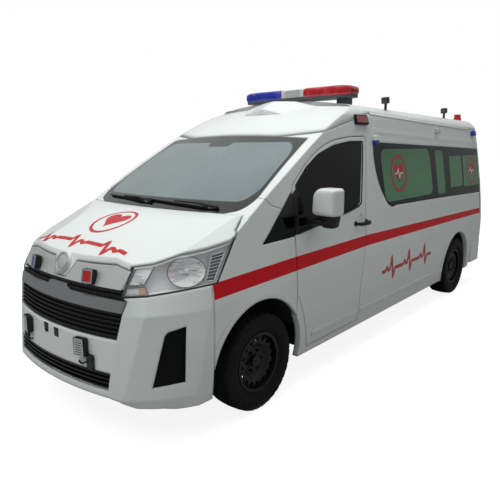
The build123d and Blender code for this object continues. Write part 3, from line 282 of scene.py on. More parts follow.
LAMP_TURN = math.radians(50)
LENS_EDGES = (((-0.262, 0.972), (0.318, 1.020)), ((0.318, 1.020), (0.462, 1.300)),
              ((-0.188, 1.143), (-0.262, 0.972)))


def lens_border(s):
    """The dark edge of the headlamp's lens, below and at both ends."""
    across = s.x.abs() * math.cos(LAMP_TURN) + s.station * math.sin(LAMP_TURN)
    nearest = None
    for (u0, v0), (u1, v1) in LENS_EDGES:
        length = math.hypot(u1 - u0, v1 - v0)
        inside = (s.z - v0) * ((u1 - u0) / length) - (across - u0) * ((v1 - v0) / length)
        nearest = inside if nearest is None else nearest.min(inside)
    return nearest.below(0.0085, 0.002)


def windshield_border(s):
    """The printed black border of the windshield."""
    side = (s.z - 1.911) * -0.183 + 0.779
    radius = 0.12
    across = (s.x.abs() - side + (0.030 + radius)).max(0.0)
    low = (s.z * -1.0 + (1.478 + radius)).max(0.0)
    high = (s.z - (1.888 - radius)).max(0.0)
    up = low.max(high)
    out = (across * across + up * up).op("SQRT").above(radius, 0.002)
    mirror_foot = rounded(s.x, s.z, (0.0, 1.90), (0.13, 0.045), 0.03)
    return out.max(mirror_foot)


def side_glass_material():
    """Black glass with four frosted green panes in it."""
    s = Shader("side_band", (6, 7, 8), 0.06, Coat_Weight=0.3, Specular_IOR_Level=0.25)
    for centre, half, lean, radius in (
        ((2.485, 1.576), (0.585, 0.247), 0.10, 0.09),
        ((3.345, 1.557), (0.115, 0.244), 0.08, 0.03),
        ((3.860, 1.548), (0.205, 0.184), 0.06, 0.02),
        ((4.405, 1.538), (0.285, 0.192), 0.05, 0.02),
    ):
        skewed = s.station + (s.z - centre[1]) * lean
        pane = rounded(skewed, s.z, centre, half, radius)
        s.mix(pane, (88, 142, 104))
        # painted shade: each green pane is made darker towards its top
        shade = (s.z * 4.0 - 6.2).max(0.0).min(1.0)
        s.mix(pane * shade * 0.45, (70, 104, 80))
    s.mix(s.noise(1.5, 3.0).above(0.5, 0.6) * 0.12, (40, 48, 44))
    s.drive("Roughness", 0.03, 0.10, s.noise(8.0))
    return s.done()


def lamp_cases_material():
    """The cases on the roof: (from, to, low z, high z, colour), by station."""
    s = Shader("lamp_cases", (26, 26, 28), 0.25, Coat_Weight=0.6)
    for start, end, low, high, color in (
        (1.48, 1.64, 1.9, 2.3, (196, 200, 204)),
        (1.72, 1.84, 1.80, 1.905, (28, 44, 160)),
        (1.72, 1.84, 1.905, 2.1, WHITE),
        (3.25, 3.36, 1.9, 2.1, (190, 194, 198)),
        (4.49, 4.575, 1.9, 2.1, (30, 46, 164)),
        (4.44, 4.70, 2.12, 2.4, (186, 22, 32)),
    ):
        inside = s.station.above(start) * s.station.below(end)
        s.mix(inside * s.z.above(low) * s.z.below(high), color)
    s.mix(s.noise(40.0, 3.0).above(0.5, 0.5) * 0.15, (30, 30, 32))
    s.drive("Roughness", 0.15, 0.35, s.noise(60.0))
    s.bump(s.noise(500.0), 0.1, 0.0004)
    return s.done()


def lens_material(name, color, ribs, glow=0.0):
    """A coloured plastic lens with moulded ribs behind its face, and painted highlights."""
    s = Shader(name, color, 0.12, Coat_Weight=1.0, Coat_Roughness=0.03, Emission_Color=linear(*color),
               Emission_Strength=glow)
    pattern = s.x.ribs(ribs) * 0.6 + s.z.ribs(ribs) * 0.4
    s.mix(pattern.above(0.55, 0.5) * 0.5, shaded(color, 0.45))
    # painted highlights: lighter noise patches stand in for glints on the lens
    s.mix(s.noise(18.0).above(0.62, 0.2) * 0.35, shaded(color, 1.8, 0.02))
    s.bump(pattern, 0.3, 0.0012)
    return s.done()


def tyre_material():
    s = Shader("tyre_rubber", (7, 7, 8), 0.8, Specular_IOR_Level=0.3)
    s.mix(s.noise(30.0, 6.0).above(0.5, 0.5) * 0.4, (17, 16, 16))
    s.mix(s.z.below(0.05, 0.04) * s.noise(50.0) * 0.6, (92, 86, 76))
    s.drive("Roughness", 0.66, 0.9, s.noise(40.0, 4.0))
    s.bump(s.noise(900.0, 2.0), 0.4, 0.0006)
    return s.done()


def cloth_material(name, color):
    s = Shader(name, color, 0.9, Sheen_Weight=0.4)
    weave = ((s.x * 2600.0).op("SINE") * (s.z * 2600.0 + s.y * 2600.0).op("SINE")) * 0.5 + 0.5
    s.mix(weave.above(0.5, 0.6) * 0.4, shaded(color, 0.5))
    s.mix(s.noise(6.0, 5.0).above(0.5, 0.6) * 0.2, (96, 98, 102))
    s.bump(weave, 0.4, 0.0005)
    s.bump(s.noise(24.0, 4.0), 0.3, 0.002)
    return s.done()


def light_bar_material():
    s = Shader("light_bar_shell", (176, 180, 184), 0.12, Coat_Weight=0.5)
    ribs = s.x.ribs(260.0)
    s.mix(s.x.above(0.0), (188, 10, 24))
    s.mix(s.x.below(0.0), (16, 44, 170))
    s.mix(ribs.above(0.6, 0.4) * 0.35, (40, 10, 30))
    inner = rounded(s.station, s.z, (1.797, 2.352), (0.075, 0.016), 0.01)
    s.mix(inner * 0.5, (20, 20, 24))
    # painted highlights: pale pink noise patches stand in for glints on the red and blue shell
    s.mix(s.noise(14.0).above(0.6, 0.2) * 0.12, (240, 190, 200))
    s.bump(ribs, 0.25, 0.001)
    return s.done()


def bowl_material():
    """A bright reflector with painted reflections: light, warm and dark streaks on a white base stand in for
    what its flutes mirror of what is around it.
    """
    s = Shader("lamp_bowl", (255, 255, 255), 0.2)
    # painted reflections: streaky noise in blue-grey, warm and dark tones
    painted_reflection_streaks = s.noise(9.0, 2.0, (1.0, 1.0, 5.0))
    s.mix(painted_reflection_streaks.above(0.54, 0.10) * 0.5, (150, 158, 172))
    s.mix(s.noise(8.0, 2.0, (1.0, 1.0, 3.0)).above(0.60, 0.06) * 0.45, (198, 174, 152))
    s.mix(s.noise(14.0, 2.0, (1.0, 1.0, 6.0)).above(0.66, 0.03) * 0.75, (44, 46, 52))
    s.bump(painted_reflection_streaks, 0.3, 0.003)
    return s.done()


def fittings_material():
    """White mirror head, black foot and black handle."""
    s = Shader("mirror_and_handle", WHITE, 0.3, Coat_Weight=0.6)
    s.mix(s.z.below(1.3505, 0.001), (18, 18, 20))
    s.mix(s.noise(8.0).above(0.55, 0.4) * 0.1, (196, 200, 198))
    s.drive("Roughness", 0.25, 0.45, s.noise(30.0))
    s.bump(s.noise(500.0), 0.1, 0.0004)
    return s.done()


def tail_lamp_material():
    """Red lens with a white reversing lamp below and an amber turn lamp above it."""
    s = Shader("tail_lamp_lens", (168, 10, 18), 0.1, Coat_Weight=1.0)
    s.mix(s.z.below(1.035), (206, 208, 208))
    s.mix(s.z.above(1.045) * s.z.below(1.145), (214, 112, 20))
    seams = s.z.above(1.035) * s.z.below(1.045) + s.z.above(1.145) * s.z.below(1.155)
    s.mix(seams, (60, 8, 12))
    ribs = s.z.ribs(700.0)
    s.mix(ribs.above(0.6, 0.4) * 0.35, (70, 6, 10))
    # painted highlights: pale noise patches stand in for glints on the red lens
    s.mix(s.noise(20.0).above(0.6, 0.3) * 0.2, (240, 120, 110))
    s.bump(ribs, 0.3, 0.001)
    return s.done()


M = {
    "paint": paint_material("paint_striped", True, True),
    "paint_plain": paint_material("paint_plain", False),
    "paint_hood": paint_material("paint_hood", False, soft=0.018),
    "paint_roof": paint_material("paint_roof", True, True, soft=0.06),
    # painted reflection: the headlamp's chrome reflector, bulb and slats get a near-white matt colour that
    # stands in for what the chrome mirrors
    "reflector": plain("lamp_reflector", (252, 254, 255), 0.3, 30.0, 0.0002, 0.04),
    "tray": plain("bar_tray", (92, 94, 98), 0.4, 60.0, 0.0004, 0.2, Metallic=0.3),
    "silver": plain("silver_paint", (206, 208, 206), 0.3, 80.0, 0.0003, 0.1, Metallic=0.35),
    "grille_silver": plain("bar_paint", (142, 144, 145), 0.33, 80.0, 0.0003, 0.1, Metallic=0.3),
    # near-black, darker than the black plastic: the parts are black, and the extra darkness is painted shade
    # of the recesses they fill
    "void": plain("black_and_painted_recess_shade", (6, 6, 7), 0.7, 90.0, 0.0006, 0.25, Specular_IOR_Level=0.2),
    "black": plain("black_plastic", (15, 15, 17), 0.45, 90.0, 0.0006),
    "rubber": plain("seal_rubber", (13, 13, 14), 0.6, 60.0, 0.0006),
    "rim": plain("wheel_steel", (22, 23, 26), 0.42, 70.0, 0.0006, 0.4, Metallic=0.35),
    "steel": plain("chassis_steel", (58, 60, 62), 0.55, 40.0, 0.001, 0.5, Metallic=0.4),
    "iron": plain("cast_iron", (44, 44, 45), 0.62, 60.0, 0.0015, 0.5, Metallic=0.5),
    "chrome": plain("bright_plate", (225, 228, 232), 0.09, 30.0, 0.0001, 0.08, Metallic=1.0),
    "dark_grey": plain("cabin_dark", (48, 50, 54), 0.6, 90.0, 0.0008),
    "panel": plain("cabin_panel", (198, 200, 198), 0.5, 50.0, 0.0005, 0.12),
    "band": side_glass_material(),
    # painted reflection: the windshield's partly opaque light blue-grey layer stands in for the bright sky
    # mirrored by the glass, over its real tint
    "windshield": clear("windshield_glass", (190, 206, 204), 2.2, 0.50,
                        (156, 174, 176), windshield_border),
    "door_glass": clear("door_tint", (24, 28, 28), 0.4, 0.34, (7, 8, 9)),
    "lens": clear("lamp_lens", (255, 255, 255), 0.25, 0.06, (250, 252, 255), lens_border),
    "red_lens": lens_material("red_lens", (192, 8, 18), 260.0, 0.04),
    "dark_red_lens": lens_material("dark_red_lens", (150, 14, 24), 260.0, 0.02),
    "blue_lens": lens_material("blue_lens", (14, 48, 160), 260.0, 0.04),
    "amber_lens": lens_material("amber_lens", (214, 158, 112), 500.0),
    "white_lens": lens_material("clear_ribbed_lens", (226, 231, 234), 500.0),
    "tyre": tyre_material(),
    "cloth": cloth_material("seat_cloth", (72, 76, 84)),
    "vinyl": plain("bench_vinyl", (38, 66, 112), 0.42, 40.0, 0.0008, 0.15),
    "decal": plain("red_film", (190, 18, 28), 0.35, 30.0, 0.0002, 0.12, Coat_Weight=0.3),
    "decal_white": plain("white_film", (236, 238, 236), 0.35, 30.0, 0.0002, 0.08),
    "bar_lens": light_bar_material(),
    "bowl": bowl_material(),
    "fittings": fittings_material(),
    "tail": tail_lamp_material(),
    "lamps": lamp_cases_material(),
}

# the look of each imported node; wheels are told apart by their names
NODES_BY_LOOK = {
    "paint": "body_side_left body_side_right sliding_door front_fenders door_left door_right tailgate",
    "paint_hood": "hood",
    "paint_roof": "roof",
    "paint_plain": "front_bumper rear_bumper",
    "windshield": "windshield",
    "band": "side_glass",
    "door_glass": "quarter_glass door_glass_left door_glass_right tailgate_glass",
    "silver": "nose_panel",
    "grille_silver": "grille_bar",
    "black": "grille cowl steering_wheel",
    "void": "bumper_inserts",
    "lens": "headlamp_lenses",
    "reflector": "headlamp_housings",
    "rubber": "front_lamps",
    "tail": "tail_lamps",
    "fittings": "door_fittings_left door_fittings_right",
    "steel": "floor_pan frame_rails firewall fuel_tank_and_exhaust",
    "iron": "tow_eyes front_suspension rear_axle engine radiator knuckle_left knuckle_right",
    "dark_grey": "dashboard front_seats",
    "panel": "bulkhead side_bench",
    "bar_lens": "light_bar_lenses",
    "tray": "light_bar_base",
    "lamps": "roof_lamps",
}
LOOK_OF = {node: look for look, nodes in NODES_BY_LOOK.items() for node in nodes.split()}
for node_name, node in NODES.items():
    look = LOOK_OF.get(node_name, "tyre" if node_name.startswith("tyre") else "rim")
    node.data.materials.clear()
    node.data.materials.append(M[look])


# ---- making pieces ----
# the slot for each look whose slot has another name; piece() looks it up but does not use it
SLOTS = {
    "decal": "red", "decal_white": "paint", "paint_plain": "paint", "fittings": "paint", "panel": "paint",
    "rubber": "black", "void": "black", "reflector": "chrome", "bowl": "chrome", "white_lens": "lens",
    "amber_lens": "lens", "bar_lens": "lens", "dark_red_lens": "signal", "dark_grey": "grey",
    "vinyl": "cloth",
}


def placed(name, data):
    made = bpy.data.objects.new(name, data)
    bpy.context.scene.collection.objects.link(made)
    return made


def piece(name, verts, faces, look, body="van", slot=None, smooth=False):
    """A mesh in the frame, riding a body. Its slot is looked up from its look, but not used."""
    mesh = bpy.data.meshes.new(name)
    mesh.from_pydata([tuple(v) for v in verts], [], [tuple(f) for f in faces])
    mesh.update()
    mesh.materials.append(M[look])
    if smooth:
        mesh.shade_smooth()
    made = placed(name, mesh)
    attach(made, body)
    if slot is None:
        slot = SLOTS.get(look, look)
    return made


def angles(steps, more=0):
    """Even steps of a turn, in radians, and the first ones again."""
    return [2 * math.pi * k / steps for k in range(steps + more)]


def turned(degrees, axis):
    return Matrix.Rotation(math.radians(degrees), 3, axis)


def lattice(rows, width, around=True, closed=False, flip=False):
    """Faces between rows of points. Each row's ends may join, and the last row the first."""
    faces = []
    for i in range(rows if closed else rows - 1):
        a, b = i * width, (i + 1) % rows * width
        for k in range(width if around else width - 1):
            n = (k + 1) % width
            faces.append((a + k, b + k, b + n, a + n) if flip else (a + k, a + n, b + n, b + k))
    return faces


def capped(faces, rows, width):
    """The faces of a tube, with its two ends closed."""
    return faces + [tuple(reversed(range(width))), tuple(range((rows - 1) * width, rows * width))]


def bevel(made, width, segments=2):
    modifier = made.modifiers.new("edge", "BEVEL")
    modifier.width = width
    modifier.segments = segments
    modifier.limit_method = "ANGLE"
    return made


BOX_FACES = [(0, 3, 2, 1), (4, 5, 6, 7), (0, 1, 5, 4), (1, 2, 6, 5), (2, 3, 7, 6), (3, 0, 4, 7)]


def box_corners(centre, size, turn=None):
    turn = turn or Matrix.Identity(3)
    corners = ((-0.5, -0.5), (0.5, -0.5), (0.5, 0.5), (-0.5, 0.5))
    return [Vector(centre) + turn @ Vector((dx * size[0], dy * size[1], dz * size[2]))
            for dz, (dx, dy) in product((-0.5, 0.5), corners)]


def boxes(name, items, look, body="van", slot=None, edge=0.0):
    """Several boxes in one piece: (centre, size) or (centre, size, turn)."""
    made = piece(name, *merged((box_corners(*item), BOX_FACES) for item in items), look, body, slot)
    return bevel(made, edge) if edge else made


def frame_about(direction):
    """Two unit vectors square to a direction."""
    d = Vector(direction).normalized()
    side = d.cross(Vector((0, 0, 1)))
    if side.length < 0.2:
        side = d.cross(Vector((0, 1, 0)))
    side.normalize()
    return side, side.cross(d)


def heading(line, i, closed=False):
    """The way along a line at one of its points, from the points before and after it."""
    last = len(line) - 1
    before = line[i - 1] if i or closed else line[0]
    after = line[(i + 1) % len(line)] if i < last or closed else line[last]
    return after - before


def tube_mesh(points, radius, sides=8, closed=False):
    points = [Vector(p) for p in points]
    verts = []
    for i, p in enumerate(points):
        side, up = frame_about(heading(points, i, closed))
        r = radius[i] if isinstance(radius, (list, tuple)) else radius
        verts += [p + side * (r * math.cos(a)) + up * (r * math.sin(a)) for a in angles(sides)]
    faces = lattice(len(points), sides, closed=closed)
    return verts, faces if closed else capped(faces, len(points), sides)


def merged(parts):
    verts, faces = [], []
    for part_verts, part_faces in parts:
        base = len(verts)
        verts += list(part_verts)
        faces += [tuple(i + base for i in f) for f in part_faces]
    return verts, faces


def lathe_mesh(profile, centre, axis, steps=48):
    """Turns (distance along axis, radius) points about an axis through the centre."""
    axis = Vector(axis).normalized()
    side, up = frame_about(axis)
    verts = []
    for along, radius in profile:
        for a in angles(steps):
            verts.append(Vector(centre) + axis * along + (side * math.cos(a) + up * math.sin(a)) * radius)
    return verts, lattice(len(profile), steps)


def skin(rings, across, upward, steps=36, power=3.2):
    """A closed skin through rounded rings: (x, station, z, half across, half upward)."""
    verts = []
    for x, station, z, a, b in rings:
        for t in angles(steps):
            c, s = math.cos(t), math.sin(t)
            u = math.copysign(abs(c) ** (2 / power), c) * a
            v = math.copysign(abs(s) ** (2 / power), s) * b
            verts.append(point(x, station, z) + Vector(across) * u + Vector(upward) * v)
    return verts, capped(lattice(len(rings), steps), len(rings), steps)


# ---- laying things on the CAD surface ----
def surface_of(*names):
    """The CAD surface of some nodes, to lay things on."""
    parts = []
    for name in names:
        mesh = NODES[name].data
        parts.append(([v.co.copy() for v in mesh.vertices], [p.vertices for p in mesh.polygons]))
    return BVHTree.FromPolygons(*merged(parts))


SIDE = {
    1: surface_of("body_side_left", "side_glass", "front_fenders", "roof"),
    -1: surface_of("body_side_right", "sliding_door", "side_glass", "front_fenders", "roof"),
}
DOOR = {
    1: surface_of("door_left"),
    -1: surface_of("door_right"),
}
HOOD = surface_of("hood")
GLASS = surface_of("windshield")
NOSE = surface_of("front_bumper", "grille", "nose_panel", "grille_bar")
TAIL = surface_of("tailgate", "tailgate_glass")
LAMP = surface_of("headlamp_lenses")


def cast(tree, start, direction):
    hit = tree.ray_cast(Vector(start), Vector(direction))
    return hit[0], hit[1]


def on_side(tree, side, station, height, proud=0.0):
    """The point on the van's side at a station and height, and the way out of it."""
    found = []
    for nudge in (0.0, 0.02, -0.02):
        hit, normal = cast(tree, (side * 1.4, station + nudge + DATUM, height), (-side, 0, 0))
        if hit is not None:
            found.append((abs(hit.x), normal))
    if not found:
        hit, normal = tree.find_nearest(point(side, station, height))[:2]
        found.append((abs(hit.x), normal))
    best = max(found, key=lambda f: f[0])
    if abs(found[0][0] - best[0]) < 0.008:
        best = found[0]
    normal = best[1] if best[1].x * side > 0 else -best[1]
    return Vector((side * (best[0] + proud), station + DATUM, height)), normal


def smooth_line(points, spacing, closed=False):
    """Points evenly along a polyline, in two dimensions."""
    points = [Vector((p[0], p[1])) for p in points]
    if closed:
        points.append(points[0])
    out = []
    for a, b in zip(points, points[1:]):
        steps = max(1, round((b - a).length / spacing))
        out += [a.lerp(b, i / steps) for i in range(steps)]
    if not closed:
        out.append(points[-1])
    return out


def rounded_path(corners, radius, steps=6):
    """A closed outline with its corners rounded."""
    out = []
    count = len(corners)
    for i, corner in enumerate(corners):
        here = Vector(corner)
        before = (Vector(corners[i - 1]) - here)
        after = (Vector(corners[(i + 1) % count]) - here)
        r = min(radius, before.length * 0.45, after.length * 0.45)
        start, end = here + before.normalized() * r, here + after.normalized() * r
        for k in range(steps + 1):
            t = k / steps
            out.append(start.lerp(here, t).lerp(here.lerp(end, t), t))
    return out


def crosswise(line, i, width, closed=False):
    """Half of a strip's width, square to its line at a point."""
    along = heading(line, i, closed).normalized()
    return Vector((-along.y, along.x)) * (width / 2)


def lifted(place, u, v, lift):
    """A point just off the surface that place() lays things on."""
    spot, out = place(u, v)
    return spot + out * lift


def ribbon(line, place, width, height, closed=False, base=0.001):
    """A raised strip along a two-dimensional line laid on a surface by place(u, v)."""
    verts = []
    for i, p in enumerate(line):
        across = crosswise(line, i, width, closed)
        for share, lift in ((-1, -base), (-0.8, height), (0.8, height), (1, -base)):
            offset = across * share
            verts.append(lifted(place, p.x + offset.x, p.y + offset.y, lift))
    return verts, lattice(len(line), 4, around=False, closed=closed, flip=True)


def film(rows, place, proud=0.0008):
    """A thin film on a surface from rows of two-dimensional points of equal length."""
    verts = [lifted(place, u, v, proud) for row in rows for u, v in row]
    return verts, lattice(len(rows), len(rows[0]), around=False)


def ring_rows(centre, inner, outer, steps=72):
    return [[(centre[0] + radius * math.cos(a), centre[1] + radius * math.sin(a)) for a in angles(steps, 1)]
            for radius in np.linspace(inner, outer, 4)]


def heart_rows(centre, size, steps=60):
    """A heart as rows from its middle outward."""
    edge = []
    for t in angles(steps, 1):
        x = 16 * math.sin(t) ** 3
        y = 13 * math.cos(t) - 5 * math.cos(2 * t) - 2 * math.cos(3 * t) - math.cos(4 * t)
        edge.append((x / 17, (y + 2.5) / 17))
    return [
        [(centre[0] + size * share * x, centre[1] + size * share * y) for x, y in edge]
        for share in (0.001, 0.3, 0.55, 0.8, 1.0)
    ]


def trace_rows(points, width, spacing=0.02):
    """A line of even width through points, as rows for film()."""
    line = smooth_line(points, spacing)
    rows = [[], [], []]
    for i, p in enumerate(line):
        across = crosswise(line, i, width)
        for row, share in zip(rows, (-1, 0, 1)):
            q = p + across * share
            row.append((q.x, q.y))
    return rows


def pulse(start, end, low, high, beats):
    """Corner points of a heartbeat trace between two ends."""
    middle = low + (high - low) * 0.42
    length = (end - start) / beats
    out = []
    for k in range(beats):
        base = start + length * k
        for share, level in ((0.0, middle), (0.18, middle), (0.26, middle + (high - low) * 0.16),
                             (0.34, middle), (0.42, middle), (0.50, high), (0.62, low),
                             (0.70, middle), (0.84, middle)):
            out.append((base + share * length, level))
    out.append((end, middle))
    return out


def side_place(side, tree=None):
    tree = tree or SIDE[side]
    return lambda u, v: on_side(tree, side, u, v)


def hood_place(u, v):
    """A point on the hood from x and station."""
    hit, normal = cast(HOOD, (u, v + DATUM, 2.0), (0, 0, -1))
    if hit is None:
        hit, normal = HOOD.find_nearest(point(u, v, 1.25))[:2]
    return hit, (normal if normal.z > 0 else -normal)


def front_place(tree, start=-3.6, way=1.0):
    """Points on a surface seen from ahead or behind, from x and height."""

    def place(u, v):
        hit, normal = cast(tree, (u, start, v), (0, way, 0))
        if hit is None:
            hit, normal = tree.find_nearest(Vector((u, start / 4, v)))[:2]
        return hit, (normal if normal.y * way < 0 else -normal)

    return place


# ---- markings ----
hood_centre = (0.0, -0.455)
piece("hood_ring", *film(ring_rows(hood_centre, 0.150, 0.174), hood_place), "decal", "hood")
piece("hood_heart", *film(heart_rows(hood_centre, 0.118), hood_place), "decal", "hood")
piece("hood_pulse", *film(trace_rows(pulse(0.50, -0.60, -0.678, -0.785, 3), 0.030, 0.015), hood_place),
      "decal", "hood")

for side, tag in SIDES:
    place = side_place(side)
    for spot, centre in (("front", (2.245, 1.589)), ("rear", (4.415, 1.540))):
        radius = 0.181 if spot == "front" else 0.170
        piece(f"side_ring_{spot}_{tag}", *film(ring_rows(centre, radius - 0.026, radius), place),
              "decal")
        piece(f"side_heart_{spot}_{tag}", *film(heart_rows(centre, radius * 0.62), place),
              "decal")
        y0, z0 = centre
        trace = [(y0 - 0.09, z0), (y0 - 0.035, z0), (y0 - 0.015, z0 + 0.045), (y0 + 0.012, z0 - 0.05),
                 (y0 + 0.032, z0), (y0 + 0.09, z0)]
        piece(f"side_heart_trace_{spot}_{tag}", *film(trace_rows(trace, 0.014, 0.01), place, 0.0014),
              "decal_white")
    piece(f"side_pulse_{tag}", *film(trace_rows(pulse(1.83, 3.04, 0.575, 0.80, 3), 0.038), place),
          "decal")

# ---- window seals and trim ----
DOOR_WINDOW = [(0.492, 1.228), (0.504, 1.572), (0.66, 1.692), (0.83, 1.778), (1.07, 1.845),
               (1.330, 1.880), (1.548, 1.884), (1.440, 1.372), (1.395, 1.350), (1.25, 1.325),
               (1.110, 1.308)]
SILL_CREASE = 0.392
for side, tag in SIDES:
    door = side_place(side, DOOR[side])
    path = smooth_line([(y, z) for y, z in DOOR_WINDOW], 0.05, closed=True)
    centre = sum(path, Vector((0, 0))) / len(path)
    grown = [p + (p - centre).normalized() * 0.010 for p in path]
    piece(f"door_window_seal_{tag}", *ribbon(grown, door, 0.020, 0.0025, closed=True),
          "rubber", f"door_{tag}")
    rail = [Vector((y, 2.139 - (y - 1.757) * 0.0302)) for y in np.linspace(1.757, 4.409, 60)]
    creased = smooth_line([(1.45, SILL_CREASE), (3.42, SILL_CREASE)], 0.05)
    piece(f"sill_crease_{tag}", *ribbon(creased, side_place(side), 0.050, 0.0045), "paint_plain")
    creased = smooth_line([(0.66, SILL_CREASE), (1.40, SILL_CREASE)], 0.05)
    piece(f"door_crease_{tag}", *ribbon(creased, door, 0.050, 0.0045), "paint_plain", f"door_{tag}")
    piece(f"roof_rail_{tag}", *ribbon(rail, side_place(side), 0.026, 0.006), "paint_plain")

# ---- tyres ----
def tyre_mesh(x, station):
    """A tyre with ribs, cross grooves and lettering-free sidewall steps."""
    half = [
        (-0.086, 0.205), (-0.088, 0.220), (-0.1085, 0.244), (-0.1155, 0.272), (-0.1165, 0.277),
        (-0.1150, 0.296), (-0.1145, 0.298), (-0.1135, 0.320), (-0.1100, 0.336), (-0.1000, 0.3465),
        (-0.088, 0.3490), (-0.066, 0.3520), (-0.064, 0.3430), (-0.056, 0.3430), (-0.054, 0.3530),
        (-0.024, 0.3550), (-0.022, 0.3450), (-0.012, 0.3450), (-0.010, 0.3555),
    ]
    section = half + [(-a, r) for a, r in reversed(half)]
    steps = 216
    verts = []
    for k, turn in enumerate(angles(steps)):
        for a, r in section:
            block = abs(a) > 0.06 and r > 0.340
            middle = abs(a) < 0.056 and r > 0.350
            groove = (block and k % 6 == 0) or (middle and (k + 3) % 6 == 0)
            shoulder = abs(a) > 0.098 and 0.318 < r < 0.348 and k % 6 == 0
            radius = r - (0.007 if groove else 0.0)
            along = a - math.copysign(0.004 if shoulder else 0.0, a)
            verts.append((x + along, station + DATUM + radius * math.cos(turn),
                          AXLE_HEIGHT + radius * math.sin(turn)))
    return verts, lattice(steps, len(section), closed=True, flip=True)


for tag, (x, station) in WHEELS.items():
    body = f"wheel_{tag}"
    tyre = piece(f"tread_tyre_{tag}", *tyre_mesh(x, station), "tyre", body)
    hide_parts(f"tyre_{tag}")
    out = 1 if x > 0 else -1
    centre = (x, station + DATUM, AXLE_HEIGHT)
    out_way = (out, 0, 0)
    trim = [lathe_mesh([(0.061, 0.0), (0.0675, 0.010), (0.0675, 0.030), (0.064, 0.036)], centre, out_way, 32)]
    for a in angles(6):
        spot = (x, station + DATUM + 0.074 * math.cos(a), AXLE_HEIGHT + 0.074 * math.sin(a))
        trim.append(lathe_mesh([(0.058, 0.0115), (0.064, 0.0100), (0.0665, 0.006), (0.067, 0.0)], spot,
                               out_way, 6))
    valve = Vector((x + out * 0.060, station + DATUM + 0.150, AXLE_HEIGHT - 0.115))
    trim.append(tube_mesh([valve, valve + Vector((out * 0.022, -0.006, 0.005))], 0.0045))
    piece(f"hub_trim_{tag}", *merged(trim), "rim", body)
    lip = lathe_mesh([(0.086, 0.2155), (0.0925, 0.2165), (0.0935, 0.212), (0.0925, 0.198)],
                     centre, out_way, 72)
    piece(f"rim_lip_{tag}", *lip, "rim", body, smooth=True)
    disc_body = {"front_left": "knuckle_left", "front_right": "knuckle_right"}.get(tag, "van")
    disc = lathe_mesh([(-0.072, 0.064), (-0.072, 0.142), (-0.048, 0.142), (-0.048, 0.064), (-0.072, 0.064)],
                      centre, out_way)
    piece(f"brake_disc_{tag}", *disc, "steel", disc_body, "")

# ---- steps below the front doors and plates in the wheel arches ----
STEP_FRONT, STEP_REAR = 0.600, 1.427
STEP_INNER, STEP_OUTER = 0.640, 0.885
STEP_LOW, STEP_HIGH = 0.288, 0.511
STEP_RIBS = 12
for side, tag in SIDES:
    wide, deep, tall = STEP_OUTER - STEP_INNER, STEP_REAR - STEP_FRONT, STEP_HIGH - STEP_LOW
    x = side * (STEP_INNER + STEP_OUTER) / 2
    y = (STEP_FRONT + STEP_REAR) / 2 + DATUM
    z = (STEP_LOW + STEP_HIGH) / 2
    items = [
        ((x, y, STEP_LOW + 0.005), (wide, deep, 0.010)),
        ((side * STEP_INNER, y, z), (0.010, deep, tall)),
        (point(x, STEP_FRONT, z), (wide, 0.010, tall)),
        (point(x, STEP_REAR, z), (wide, 0.010, tall)),
    ]
    for k in range(STEP_RIBS):
        rib = STEP_FRONT + 0.10 + 0.055 * k + DATUM
        items.append(((x, rib, STEP_LOW + 0.0115), (wide * 0.7, 0.012, 0.003)))
    boxes(f"door_step_{tag}", items, "black", edge=0.002)
    plates = [(point(side * 0.775, station, 0.400), (0.220, 0.008, 0.230)) for station in (3.408, 4.318)]
    boxes(f"arch_plates_{tag}", plates, "rubber", edge=0.002)

# ---- headlamps ----

def lamp_point(side, across, height, behind):
    """A point behind the headlamp's lens: across and height on its face, and a depth."""
    forward = Vector((math.sin(LAMP_TURN), -math.cos(LAMP_TURN), 0))
    along = Vector((math.cos(LAMP_TURN), math.sin(LAMP_TURN), 0))
    start = along * across + forward * 1.4 + Vector((0, DATUM, height))
    hit, _ = cast(LAMP, start, -forward)
    if hit is None:
        hit = along * across + forward * 0.93 + Vector((0, DATUM, height))
    at = hit - forward * behind
    return Vector((side * at.x, at.y, at.z))


def lamp_patch(side, corners, behind, down=8, over=6):
    """A panel behind the lens between four corners: top inner, top outer, bottom outer, bottom inner."""
    a, b, c, d = (Vector(corner) for corner in corners)
    verts = []
    for i, k in product(range(down + 1), range(over + 1)):
        spot = a.lerp(b, k / over).lerp(d.lerp(c, k / over), i / down)
        verts.append(lamp_point(side, spot.x, spot.y, behind))
    return verts, lattice(down + 1, over + 1, around=False)


def lamp_outline(side, corners, behind, radius):
    line = smooth_line(corners, 0.012, closed=True)
    return tube_mesh([lamp_point(side, p.x, p.y, behind) for p in line], radius, 6, closed=True)


